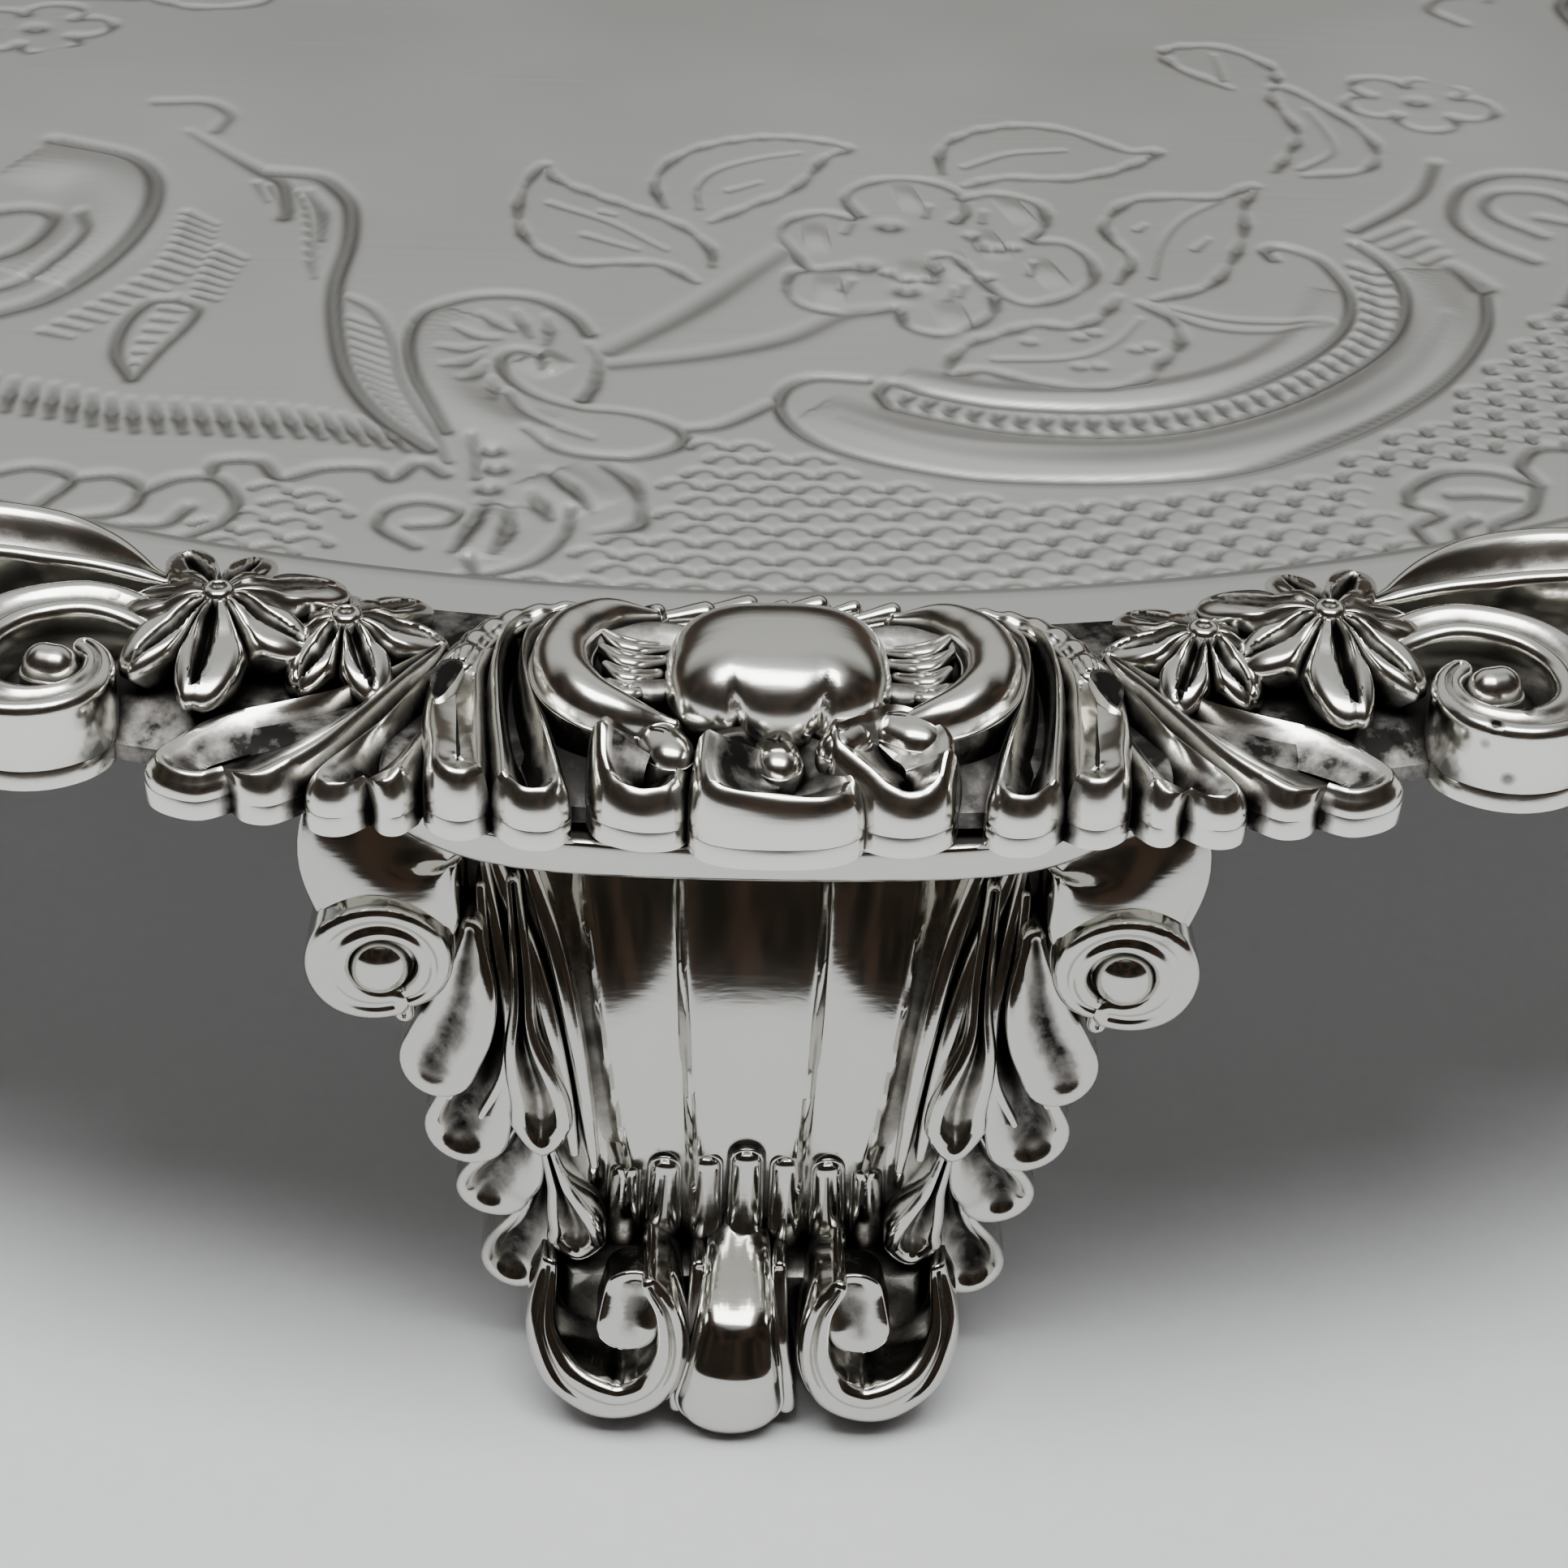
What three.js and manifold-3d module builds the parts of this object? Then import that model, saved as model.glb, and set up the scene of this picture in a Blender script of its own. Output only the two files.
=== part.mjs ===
// Silver salver: a chased round plate with a soldered border of cast sections, on three cast bracket feet.
// Millimetres, +Z up. The origin is on the floor under the plate's centre. The first foot points to -Y.

import * as THREE from 'three';
import { mergeVertices } from 'three/addons/utils/BufferGeometryUtils.js';
import Module from 'manifold-3d';

const wasm = await Module();
wasm.setup();

// ---- driving dimensions ----

const PLATE_TOP = 31.5; // height of the chased field above the floor
const SHEET = 1.2; // gauge of the plate
const FIELD_RADIUS = 82.5; // chased field, out to the foot of the step
const STEP_WIDTH = 1.3;
const STEP_RISE = 0.8;
const SHEET_RADIUS = 97.5; // edge of the sheet, hidden under the border
const PLATE_SEGMENTS = 72;

const GAP = 0.3; // solder gap between touching pieces
const BORDER_INNER = 85.2;
const BORDER_OUTER = 101.5;
const BORDER_RISE = 2.6; // top of the border's outer rim above the field
const SKIRT_DROP = 0.2; // how far the border hangs below the field's level

const ROSES = 6;
const LEAF_END = 13.4; // degrees from a rose's axis to the tip of its leaf
const SPRAY_END = 16.7; // degrees to the outer side of the flowers
const SPRAY_RADIUS = 96.8; // the flowers lie inside this radius, the leaf tips outside it

const FEET = 3;
const FEET_TURN = -0.4; // degrees: the feet are soldered slightly round from the roses
const PAD_THICKNESS = 1.6;
const PAD_WIDTH = 28;
const PAD_FRONT = 100.2;
const PAD_BACK = 85.5;
const FOOT_BACK = 86.5; // radius of the foot's rear face
const FRONT_TOP = 91; // radius of the fluted front where it meets the pad
const FRONT_SWELL = 96.1; // and where it swells most
const HOLLOW = [7.5, 4.6, 8]; // half sizes of the scoop in the foot's back
const VOLUTE_X = 14.7; // eye of a foot volute, from the foot's own axis
const VOLUTE_DROP = 8.6; // and below the field
const VOLUTE_RADIUS = 3.3;
const TOE_DISC_X = 4.4;
const TOE_DISC_RADIUS = 4.6;

// ---- derived ----

const FLANGE_TOP = PLATE_TOP + STEP_RISE;
const SHEET_BOTTOM = FLANGE_TOP - SHEET;
const BORDER_SEAT = FLANGE_TOP + GAP;
const BORDER_BOTTOM = PLATE_TOP - SKIRT_DROP;
const BORDER_TOP = PLATE_TOP + BORDER_RISE;
const PAD_TOP = Math.min(SHEET_BOTTOM, BORDER_BOTTOM) - GAP;
const PAD_BOTTOM = PAD_TOP - PAD_THICKNESS;
const FOOT_TOP = PAD_BOTTOM - GAP;
const VOLUTE_Z = PLATE_TOP - VOLUTE_DROP;

const SILVER_FIELD = new THREE.Color(0.66, 0.66, 0.64);
const SILVER_CAST = new THREE.Color(0.72, 0.71, 0.68);

// ---- helpers ----

const rad = THREE.MathUtils.degToRad;

/** Point at a radius and an angle in degrees from +Y, positive towards +X. */
function polar(radius, degrees) {
  return new THREE.Vector2(radius * Math.sin(rad(degrees)), radius * Math.cos(rad(degrees)));
}

/** Turns a closed geometry into a solid that can be joined and cut. */
function solid(geometry) {
  const bare = geometry.index ? geometry.toNonIndexed() : geometry.clone();
  bare.deleteAttribute('normal');
  bare.deleteAttribute('uv');
  const merged = mergeVertices(bare, 1e-4);
  const mesh = new wasm.Mesh({
    numProp: 3,
    vertProperties: new Float32Array(merged.attributes.position.array),
    triVerts: new Uint32Array(merged.index.array),
  });
  return new wasm.Manifold(mesh);
}

/** Turns a solid back into a geometry. */
function geometryOf(manifold) {
  const { vertProperties, triVerts } = manifold.getMesh();
  const geometry = new THREE.BufferGeometry();
  geometry.setAttribute('position', new THREE.BufferAttribute(new Float32Array(vertProperties), 3));
  geometry.setIndex(new THREE.BufferAttribute(new Uint32Array(triVerts), 1));
  geometry.computeVertexNormals();
  return geometry;
}

/** An outline in the X-Y plane pushed straight up by a depth. */
function extruded(outline, depth) {
  return new THREE.ExtrudeGeometry(new THREE.Shape(outline), { depth, bevelEnabled: false });
}

/** Straight prism on a plan outline, from one height to another. */
function prism(outline, bottom, top) {
  const geometry = extruded(outline, top - bottom);
  geometry.translate(0, 0, bottom);
  return solid(geometry);
}

/** Prism on an outline in the X-Z plane, from one Y to another. */
function slab(outline, back, front) {
  const geometry = extruded(outline, front - back);
  geometry.rotateX(Math.PI / 2);
  geometry.translate(0, front, 0);
  return solid(geometry);
}

/** Body turned about the salver's axis, from a closed list of [radius, height]. */
function turned(profile, segments) {
  const points = profile.map(([r, z]) => new THREE.Vector2(r, z));
  const geometry = new THREE.LatheGeometry(points, segments);
  geometry.rotateX(Math.PI / 2);
  return solid(geometry);
}

/** Ellipsoid at a plan point, with its long axis turned by an angle in degrees from +Y. */
function boss(at, height, size, turn = 0, detail = 6) {
  const geometry = new THREE.SphereGeometry(1, detail, detail / 2);
  geometry.rotateX(Math.PI / 2);
  geometry.scale(size[0], size[1], size[2]);
  geometry.rotateZ(-rad(turn));
  geometry.translate(at.x, at.y, height);
  return solid(geometry);
}

/** Short cylinder lying along Y, from one Y to another. */
function barrel(x, z, radius, back, front, segments = 12) {
  const geometry = new THREE.CylinderGeometry(radius, radius, front - back, segments);
  geometry.translate(x, (front + back) / 2, z);
  return solid(geometry);
}

function union(pieces) {
  return pieces.reduce((whole, piece) => whole.add(piece));
}

/** Plan outline of a sector: an outer edge given by a function of the angle, and a plain inner arc. */
function sector(from, to, outer, inner, steps) {
  const points = [];
  for (let i = 0; i <= steps; i += 1) {
    const angle = from + ((to - from) * i) / steps;
    points.push(polar(outer(angle), angle));
  }
  const innerSteps = Math.ceil(steps / 3);
  for (let i = innerSteps; i >= 0; i -= 1) {
    const angle = from + ((to - from) * i) / innerSteps;
    points.push(polar(inner, angle));
  }
  return points;
}

// ---- the plate ----

function makePlate() {
  return turned(
    [
      [0, PLATE_TOP - SHEET],
      [FIELD_RADIUS, PLATE_TOP - SHEET],
      [FIELD_RADIUS + STEP_WIDTH, SHEET_BOTTOM],
      [SHEET_RADIUS, SHEET_BOTTOM],
      [SHEET_RADIUS, FLANGE_TOP],
      [FIELD_RADIUS + STEP_WIDTH, FLANGE_TOP],
      [FIELD_RADIUS, PLATE_TOP],
      [0, PLATE_TOP],
    ],
    PLATE_SEGMENTS,
  );
}

// ---- border castings, drawn about +Y ----

/** What the plate takes up under a casting, with the solder gap all round it. */
function plateRoom() {
  const edge = SHEET_RADIUS + GAP;
  return turned(
    [
      [0, BORDER_BOTTOM - 5],
      [edge, BORDER_BOTTOM - 5],
      [edge, BORDER_SEAT],
      [0, BORDER_SEAT],
    ],
    PLATE_SEGMENTS,
  );
}

/** Six pointed petals, as a raised star. */
function flower(at, radius, height) {
  const petals = 6;
  const star = [];
  for (let i = 0; i < petals * 2; i += 1) {
    const reach = i % 2 === 0 ? radius : radius * 0.5;
    const turn = (i * Math.PI) / petals;
    star.push(new THREE.Vector2(at.x + reach * Math.sin(turn), at.y + reach * Math.cos(turn)));
  }
  return prism(star, BORDER_SEAT + 0.2, height);
}

function makeRoseCasting(room) {
  const lobe = 2.3; // degrees between two scallops of the leaf edge
  const scallop = 0.9;
  const edge = (angle) => BORDER_OUTER - scallop * (1 - Math.abs(Math.cos((Math.PI * angle) / lobe)));
  const leafSlab = sector(-LEAF_END, LEAF_END, edge, BORDER_INNER, 24);
  const sprayEdge = () => SPRAY_RADIUS;
  const spraySlab = sector(-SPRAY_END, SPRAY_END, sprayEdge, BORDER_INNER + 2.5, 9);

  const leaf = prism(leafSlab, BORDER_BOTTOM, BORDER_TOP - 0.6);
  const spray = prism(spraySlab, BORDER_SEAT, BORDER_SEAT + 0.9);
  const pieces = [leaf, spray];

  for (const side of [-1, 1]) {
    for (const [angle, radius, length] of [[10.4, 97.6, 3.8], [6.6, 96.6, 5]]) {
      const at = polar(radius, side * angle);
      pieces.push(boss(at, BORDER_TOP - 0.9, [1.5, length, 1.2], side * (angle + 18))); // leaf folds
    }
    pieces.push(boss(polar(93.4, side * 4.1), BORDER_TOP, [2.6, 4, 1.5], side * 30)); // side petals
    pieces.push(boss(polar(99.3, side * 2.9), BORDER_TOP - 0.6, [2.5, 2.4, 1.3], side * 8)); // front petals
    pieces.push(flower(polar(92.9, side * 14.1), 3.9, BORDER_TOP + 1.3));
    pieces.push(flower(polar(91.9, side * 11), 3, BORDER_TOP + 0.9));
  }
  pieces.push(boss(polar(100, 0), BORDER_TOP - 0.6, [3, 2.4, 1.3])); // front petal
  pieces.push(boss(polar(94.2, 0), BORDER_TOP + 0.4, [3.9, 3.4, 2.2], 0, 8)); // the bud
  return union(pieces).subtract(room);
}

function makeScrollCasting(room) {
  const half = 180 / ROSES;
  const innerGap = 0.35; // degrees of clearance to the neighbouring castings
  const wide = half - LEAF_END - 1.6;
  const narrow = half - SPRAY_END - innerGap;
  const shell = (angle) => BORDER_OUTER - 1.5 + 1.5 * Math.exp(-((angle / 3.5) ** 2));
  const front = sector(-wide, wide, shell, SPRAY_RADIUS + 0.5, 12);
  const back = sector(-narrow, narrow, () => SPRAY_RADIUS + 1, BORDER_INNER + 1.6, 9);
  const rim = prism(front, BORDER_BOTTOM, BORDER_TOP - 1);
  const ground = prism(back, BORDER_SEAT - 1, BORDER_TOP - 1.2);
  const pieces = [rim, ground];
  const headroom = BORDER_TOP + 5;
  const ownPlan = prism(front, BORDER_BOTTOM, headroom).add(prism(back, BORDER_BOTTOM, headroom));

  for (const side of [-1, 1]) {
    const eye = polar(98, side * (half - 17.8));
    pieces.push(boss(eye, BORDER_TOP - 0.8, [3.6, 3.4, 1.5], 0, 8));
    pieces.push(boss(eye, BORDER_TOP + 0.3, [1.2, 1.2, 1]));
    for (const [angle, radius, turn] of [[19.4, 89.6, 80], [24, 93.8, 25]]) {
      const at = polar(radius, side * (half - angle));
      pieces.push(boss(at, BORDER_TOP - 0.9, [1.3, 3.4, 1.2], -side * turn));
    }
  }
  const ribs = 3;
  for (let i = 0; i < ribs; i += 1) {
    const spread = (i - (ribs - 1) / 2) / ((ribs - 1) / 2);
    const at = new THREE.Vector2(2.9 * spread, 97 - 1.6 * spread * spread);
    pieces.push(boss(at, BORDER_TOP - 0.9, [1.1, 4.4, 1.6], 24 * spread));
  }
  return union(pieces).intersect(ownPlan).subtract(room);
}

// ---- feet, drawn about +Y ----

/** Crescent pad: the border's own curve in front and flatter behind. */
function makePad() {
  const half = PAD_WIDTH / 2;
  const outline = [];
  const steps = 8;
  for (let i = 0; i <= steps; i += 1) {
    const x = -half + (PAD_WIDTH * i) / steps;
    const front = Math.sqrt(PAD_FRONT ** 2 - x * x) - 2.4 * Math.abs(x / half) ** 6;
    outline.push(new THREE.Vector2(x, front));
  }
  for (let i = steps; i >= 0; i -= 1) {
    const x = -half + (PAD_WIDTH * i) / steps;
    outline.push(new THREE.Vector2(x * 0.9, PAD_BACK + 4 * (x / half) ** 4));
  }
  return prism(outline, PAD_BOTTOM, PAD_TOP);
}

/** Outline of the foot's body from the front: wide under the volutes, waisted above the toes. */
function bodyOutline() {
  const right = [
    [13.6, FOOT_TOP],
    [13.4, VOLUTE_Z],
    [13.4, VOLUTE_Z - 5],
    [12.4, VOLUTE_Z - 6.2],
    [12.8, VOLUTE_Z - 9],
    [11, VOLUTE_Z - 11],
    [11.2, VOLUTE_Z - 13],
    [9.6, VOLUTE_Z - 14.4],
    [9.8, VOLUTE_Z - 16.6],
    [7.4, VOLUTE_Z - 18.4],
  ];
  const points = right.map(([x, z]) => new THREE.Vector2(x, z));
  const left = right.map(([x, z]) => new THREE.Vector2(-x, z)).reverse();
  return points.concat(left);
}

/** Side view of the foot, as [radius, height]: the front swells in the middle, the back is straight. */
function sideOutline() {
  const front = new THREE.SplineCurve([
    new THREE.Vector2(FRONT_TOP, FOOT_TOP),
    new THREE.Vector2(94.2, VOLUTE_Z),
    new THREE.Vector2(FRONT_SWELL, 14),
    new THREE.Vector2(95.4, 9),
    new THREE.Vector2(94.8, 4.5),
  ]);
  const points = front.getPoints(8);
  return points.concat([new THREE.Vector2(FOOT_BACK + 3, 4.5), new THREE.Vector2(FOOT_BACK, FOOT_TOP)]);
}

/** The side outline as a prism along X. */
function sideBody() {
  const width = PAD_WIDTH + 4;
  const geometry = extruded(sideOutline(), width);
  geometry.rotateX(Math.PI / 2);
  geometry.rotateZ(Math.PI / 2);
  geometry.translate(-width / 2, 0, 0);
  return solid(geometry);
}

function makeFoot() {
  let body = slab(bodyOutline(), FOOT_BACK - 1, PAD_FRONT).intersect(sideBody());

  const flutes = 3;
  for (let i = 0; i < flutes; i += 1) {
    const x = (i - (flutes - 1) / 2) * 4.4;
    body = body.subtract(boss(new THREE.Vector2(x, 96.4), 17, [1.8, 1.4, 11]));
  }
  const hollow = boss(new THREE.Vector2(0, FOOT_BACK - 1), 15, HOLLOW, 0, 8);
  body = body.subtract(hollow);

  const pieces = [body];
  for (const side of [-1, 1]) {
    pieces.push(barrel(side * VOLUTE_X, VOLUTE_Z, VOLUTE_RADIUS, 90, 97.6));
    pieces.push(boss(new THREE.Vector2(side * VOLUTE_X, 97.6), VOLUTE_Z, [1.5, 1, 1.5]));
    for (const [x, z, r] of [[9.4, VOLUTE_Z - 7, 2.2], [7.6, VOLUTE_Z - 14, 1.9]]) {
      pieces.push(boss(new THREE.Vector2(side * x, 95.6), z, [r, 1.6, r * 2]));
    }
    pieces.push(barrel(side * TOE_DISC_X, TOE_DISC_RADIUS + 0.3, TOE_DISC_RADIUS, 92, 99));
    pieces.push(boss(new THREE.Vector2(side * TOE_DISC_X, 99), TOE_DISC_RADIUS + 2, [1.6, 0.8, 1.8]));
  }
  pieces.push(boss(new THREE.Vector2(0, 97), 3.9, [2.3, 3.9, 4.4], 0, 10)); // middle toe

  const corners = [[-40, 60], [40, 60], [40, 120], [-40, 120]];
  const belowFloor = prism(corners.map(([x, y]) => new THREE.Vector2(x, y)), -20, 0);
  return union(pieces).subtract(belowFloor);
}

// ---- assembly ----

const salver = new THREE.Group();

function silver(colour, roughness) {
  return new THREE.MeshStandardMaterial({ color: colour, roughness, metalness: 1 });
}

function place(name, geometry, material, degrees) {
  const mesh = new THREE.Mesh(geometry, material);
  mesh.name = name;
  mesh.rotation.z = rad(degrees);
  salver.add(mesh);
}

const room = plateRoom();
const plate = geometryOf(makePlate());
const rose = geometryOf(makeRoseCasting(room));
const scroll = geometryOf(makeScrollCasting(room));
const pad = geometryOf(makePad());
const foot = geometryOf(makeFoot());

place('salver_plate', plate, silver(SILVER_FIELD, 0.4), 0);
for (let i = 0; i < ROSES; i += 1) {
  const turn = 180 + (360 / ROSES) * i;
  place(`rose_casting_${i + 1}`, rose, silver(SILVER_CAST, 0.2), turn);
  place(`scroll_casting_${i + 1}`, scroll, silver(SILVER_CAST, 0.2), turn + 180 / ROSES);
}
for (let i = 0; i < FEET; i += 1) {
  const turn = 180 + (360 / FEET) * i + FEET_TURN;
  place(`foot_pad_${i + 1}`, pad, silver(SILVER_CAST, 0.2), turn);
  place(`foot_${i + 1}`, foot, silver(SILVER_CAST, 0.2), turn);
}

export default salver;
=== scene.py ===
"""Silver salver: the chased plate, the cast border and the cast feet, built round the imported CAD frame."""
import math

import bpy
import numpy as np
from mathutils import Matrix, Vector


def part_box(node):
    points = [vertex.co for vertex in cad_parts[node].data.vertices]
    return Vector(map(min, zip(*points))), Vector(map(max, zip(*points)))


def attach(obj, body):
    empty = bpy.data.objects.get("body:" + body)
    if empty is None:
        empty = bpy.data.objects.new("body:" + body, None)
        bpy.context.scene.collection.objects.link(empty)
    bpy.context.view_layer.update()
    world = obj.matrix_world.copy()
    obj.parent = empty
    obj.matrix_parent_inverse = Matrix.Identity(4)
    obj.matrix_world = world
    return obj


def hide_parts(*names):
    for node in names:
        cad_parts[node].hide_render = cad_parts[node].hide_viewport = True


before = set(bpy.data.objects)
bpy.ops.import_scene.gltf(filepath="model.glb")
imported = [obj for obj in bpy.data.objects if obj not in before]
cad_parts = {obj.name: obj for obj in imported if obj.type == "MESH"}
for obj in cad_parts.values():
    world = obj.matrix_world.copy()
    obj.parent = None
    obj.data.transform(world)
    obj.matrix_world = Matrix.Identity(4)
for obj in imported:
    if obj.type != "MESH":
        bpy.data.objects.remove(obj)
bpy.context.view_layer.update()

# ---- the salver's own dimensions, in millimetres, taken from the frame ----

MM = 0.001
ROSES = sum(name.startswith("rose_casting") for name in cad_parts)
FEET = sum(name.startswith("foot_pad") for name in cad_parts)


def node_box(name):
    low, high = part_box(name)
    return np.array(low) / MM, np.array(high) / MM


STEP_RISE = 0.8
PLATE_TOP = node_box("salver_plate")[1][2] - STEP_RISE
FIELD_RADIUS = 82.5
STEP_WIDTH = 1.3
SHEET = 1.2
RIM = node_box("rose_casting_1")[0][1] * -1.0  # the border's greatest radius
PAD_LOW, PAD_HIGH = node_box("foot_pad_1")
FOOT_LOW, FOOT_HIGH = node_box("foot_1")
FOOT_TURN = math.atan2((PAD_LOW[0] + PAD_HIGH[0]) / 2, -PAD_LOW[1])  # the first foot's angle from -Y
ARC_RADIUS = 100.0  # border drawings give distance along the rim at this radius


# ---- curves ----

def smooth_line(points, count):
    """A smooth curve through the points, as count evenly spaced points and their unit tangents."""
    p = np.array(points, float)
    if len(p) == 2:
        dense = p[0] + (p[1] - p[0]) * np.linspace(0, 1, 60)[:, None]
    else:
        ends = np.vstack([2 * p[0] - p[1], p, 2 * p[-1] - p[-2]])
        parts = []
        t = np.linspace(0, 1, 24, endpoint=False)[:, None]
        for a, b, c, d in zip(ends[:-3], ends[1:-2], ends[2:-1], ends[3:]):
            parts.append(0.5 * (2 * b + (c - a) * t + (2 * a - 5 * b + 4 * c - d) * t**2
                                + (3 * b - a - 3 * c + d) * t**3))
        dense = np.vstack(parts + [p[-1:]])
    steps = np.linalg.norm(np.diff(dense, axis=0), axis=1)
    run = np.concatenate([[0], np.cumsum(steps)])
    at = np.linspace(0, run[-1], count)
    line = np.stack([np.interp(at, run, dense[:, k]) for k in range(p.shape[1])], -1)
    tangent = np.gradient(line, axis=0)
    tangent /= np.maximum(np.linalg.norm(tangent, axis=1, keepdims=True), 1e-9)
    return line, tangent


def along(values, count):
    """Values given at even steps of a curve, read off at count points."""
    v = np.atleast_1d(np.array(values, float))
    if len(v) == 1:
        return np.full(count, v[0])
    x = np.linspace(0, len(v) - 1, count)
    smooth = np.interp(x, np.arange(len(v)), v)
    kernel = np.array([1, 2, 3, 2, 1]) / 9
    padded = np.pad(smooth, 2, mode="edge")
    return np.convolve(padded, kernel, "valid")


# ---- casting in relief ----

def spoon(u):
    """Hollow: 0 at the rim, 1 along the middle."""
    return (1 - np.cos(np.pi * u)) / 2


def groove(u):
    """Rounded body with a narrow V groove along the middle."""
    return np.where(u < 0.5, -0.25 * np.sin(2 * np.pi * u), ((u - 0.5) / 0.5) ** 0.9)


def dome(u):
    """Swelling instead of a hollow, steep at the rim."""
    return -np.sqrt(np.clip(1 - (1 - u) ** 2, 0, 1))


def cleft(u):
    """Two full cheeks with a wide dark groove between them."""
    return -0.35 * np.sin(np.pi * np.clip(u / 0.62, 0, 1)) + np.clip((u - 0.5) / 0.5, 0, 1) ** 0.8


def flat(u):
    return u * 0


class Relief:
    """A casting built from closed shapes, each on its own outline, with a tone that says where oxide settles in the
    hollows and, in a few places, where shade is painted.
    """

    def __init__(self, place):
        self.place = place
        self.points, self.faces, self.tones, self.count = [], [], [], 0

    def grid(self, points, tone, loop=False):
        """A sheet of quads on an array of rows of points; loop joins each row's end to its start."""
        rows, cols = tone.shape
        self.points.append(points.reshape(-1, 3))
        self.tones.append(tone.reshape(-1))
        index = np.arange(rows * cols).reshape(rows, cols) + self.count
        right = np.roll(index, -1, axis=1) if loop else index[:, 1:]
        left = index if loop else index[:, :-1]
        quads = np.stack([left[:-1], right[:-1], right[1:], left[1:]], -1).reshape(-1, 4)
        self.faces.append(quads)
        self.count += rows * cols

    def lobe(self, spine, width, crest, depth=1.0, base=-0.25, rim=0.35, tip=(1.0, 2.0), root=(1.0, 2.0),
             profile=spoon, rib=0.0, tilt=0.0, skew=0.0, seam=None, tone=(0.0, 1.0), wall=0.3, count=22, turn=9,
             inward=8):
        """One closed shape round a spine: walls up from base, a rounded rim at crest, a hollow of depth inside.

        width is the half width along the spine, tip and root are (length, fullness) of the rounded ends.
        """
        line, tangent = smooth_line(spine, count)
        normal = np.stack([-tangent[:, 1], tangent[:, 0]], -1)
        w, c, d = along(width, count), along(crest, count), along(depth, count)

        def cap(k, end, sign):
            across = np.sin(np.linspace(np.pi / 2, -np.pi / 2, turn + 2))[1:-1] * sign
            reach = end[0] * (1 - np.abs(across) ** end[1]) if end[1] != 2 else end[0] * np.sqrt(1 - across**2)
            return line[k] + w[k] * (reach[:, None] * tangent[k] * sign + across[:, None] * normal[k]), across

        tip_points, tip_side = cap(-1, tip, 1.0)
        root_points, root_side = cap(0, root, -1.0)
        middle = np.arange(count)
        pick = np.concatenate([middle, np.full(turn, count - 1), middle[::-1], np.zeros(turn, int)])
        side = np.concatenate([np.ones(count), tip_side, -np.ones(count), root_side])
        outline = np.vstack([line + w[:, None] * normal, tip_points,
                             (line - w[:, None] * normal)[::-1], root_points])
        anchor = (line + skew * w[:, None] * normal)[pick]
        top, hollow, half = c[pick], d[pick], w[pick]
        edge = np.minimum(rim, 0.7 * half)

        rows, heights, tones = [anchor, outline], [top * 0 + base, top * 0 + base], [wall, wall]
        if seam is not None:
            inset = outline + (anchor - outline) * (0.05 / half)[:, None]
            for level, ring in ((seam - 0.05, outline), (seam, inset), (seam + 0.05, outline)):
                rows.append(ring)
                heights.append(top * 0 + level)
                tones.append(wall)
        for step in (0.0, 0.12, 0.35, 0.65, 1.0):
            share = step * edge / half
            rows.append(outline + (anchor - outline) * share[:, None])
            heights.append(top - edge + edge * math.sqrt(1 - (1 - step) ** 2) + tilt * side * half * (1 - share))
            tones.append(wall if step == 0 else tone[0])
        for u in np.linspace(0, 1, inward + 1)[1:]:
            share = edge / half + (1 - edge / half) * u
            rows.append(outline + (anchor - outline) * share[:, None])
            ridge = rib * math.exp(-((1 - u) / 0.16) ** 2)
            heights.append(top - hollow * float(profile(np.array(u))) + ridge + tilt * side * half * (1 - share))
            dark = float(np.clip(profile(np.array(u)), 0, 1)) - (0.7 if rib and u > 0.9 else 0)
            tones.append(tone[0] + (tone[1] - tone[0]) * max(dark, 0))
        plan = np.stack(rows)
        height = np.stack(heights)
        self.grid(self.place(plan, height), np.repeat(np.array(tones)[:, None], plan.shape[1], 1), loop=True)

    def fold(self, runs, spine, depth, base=-0.25, lean=0.3, rim=0.28, power=1.5, rib=0.05, seam=None,
             tone=(0.0, 1.5), shade=1.2, step=0.16, inward=12, wall=0.1):
        """A hollow leaf fold: a closed outline made of smooth runs that meet at corners, and a channel down the spine.

        Each run is (points, crest heights along it). The wall leans back towards a thin bright rim.
        """
        outline, top, corner = [], [], []
        for points, crest in runs:
            length = sum(math.dist(a, b) for a, b in zip(points[:-1], points[1:]))
            count = max(5, int(length / step))
            line, _ = smooth_line(points, count)
            outline.append(line[:-1])
            top.append(along(crest, count)[:-1])
            closeness = np.minimum(np.arange(count), np.arange(count)[::-1])[:-1]
            corner.append(np.exp(-(closeness * length / count / 0.5) ** 2))
        outline, top, corner = np.vstack(outline), np.concatenate(top), np.concatenate(corner)
        channel, _ = smooth_line(spine, 160)
        nearest = np.argmin(np.linalg.norm(outline[:, None] - channel[None], axis=2), 1).astype(float)
        window = np.hanning(max(5, len(outline) // 9) + 2)[1:-1]
        half_window = len(window) // 2
        padded = np.concatenate([nearest[-half_window:], nearest, nearest[:half_window]])
        nearest = np.convolve(padded, window / window.sum(), "valid")[:len(outline)]
        anchor = channel[np.clip(nearest, 0, 159).astype(int)]
        deep = np.interp(nearest / 159, np.linspace(0, 1, len(depth)), depth)
        gap = np.maximum(np.linalg.norm(anchor - outline, axis=1), 0.3)
        reach = np.minimum(lean, 0.3 * gap) / gap
        edge = np.minimum(rim, 0.36 * gap) / gap

        corner = 1.7 * corner
        rows, heights, tones = [anchor, outline], [top * 0 + base, top * 0 + base], [top * 0 + wall, wall + corner]

        def add(share, height, dark):
            rows.append(outline + (anchor - outline) * share[:, None])
            heights.append(height)
            tones.append(dark)

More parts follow.
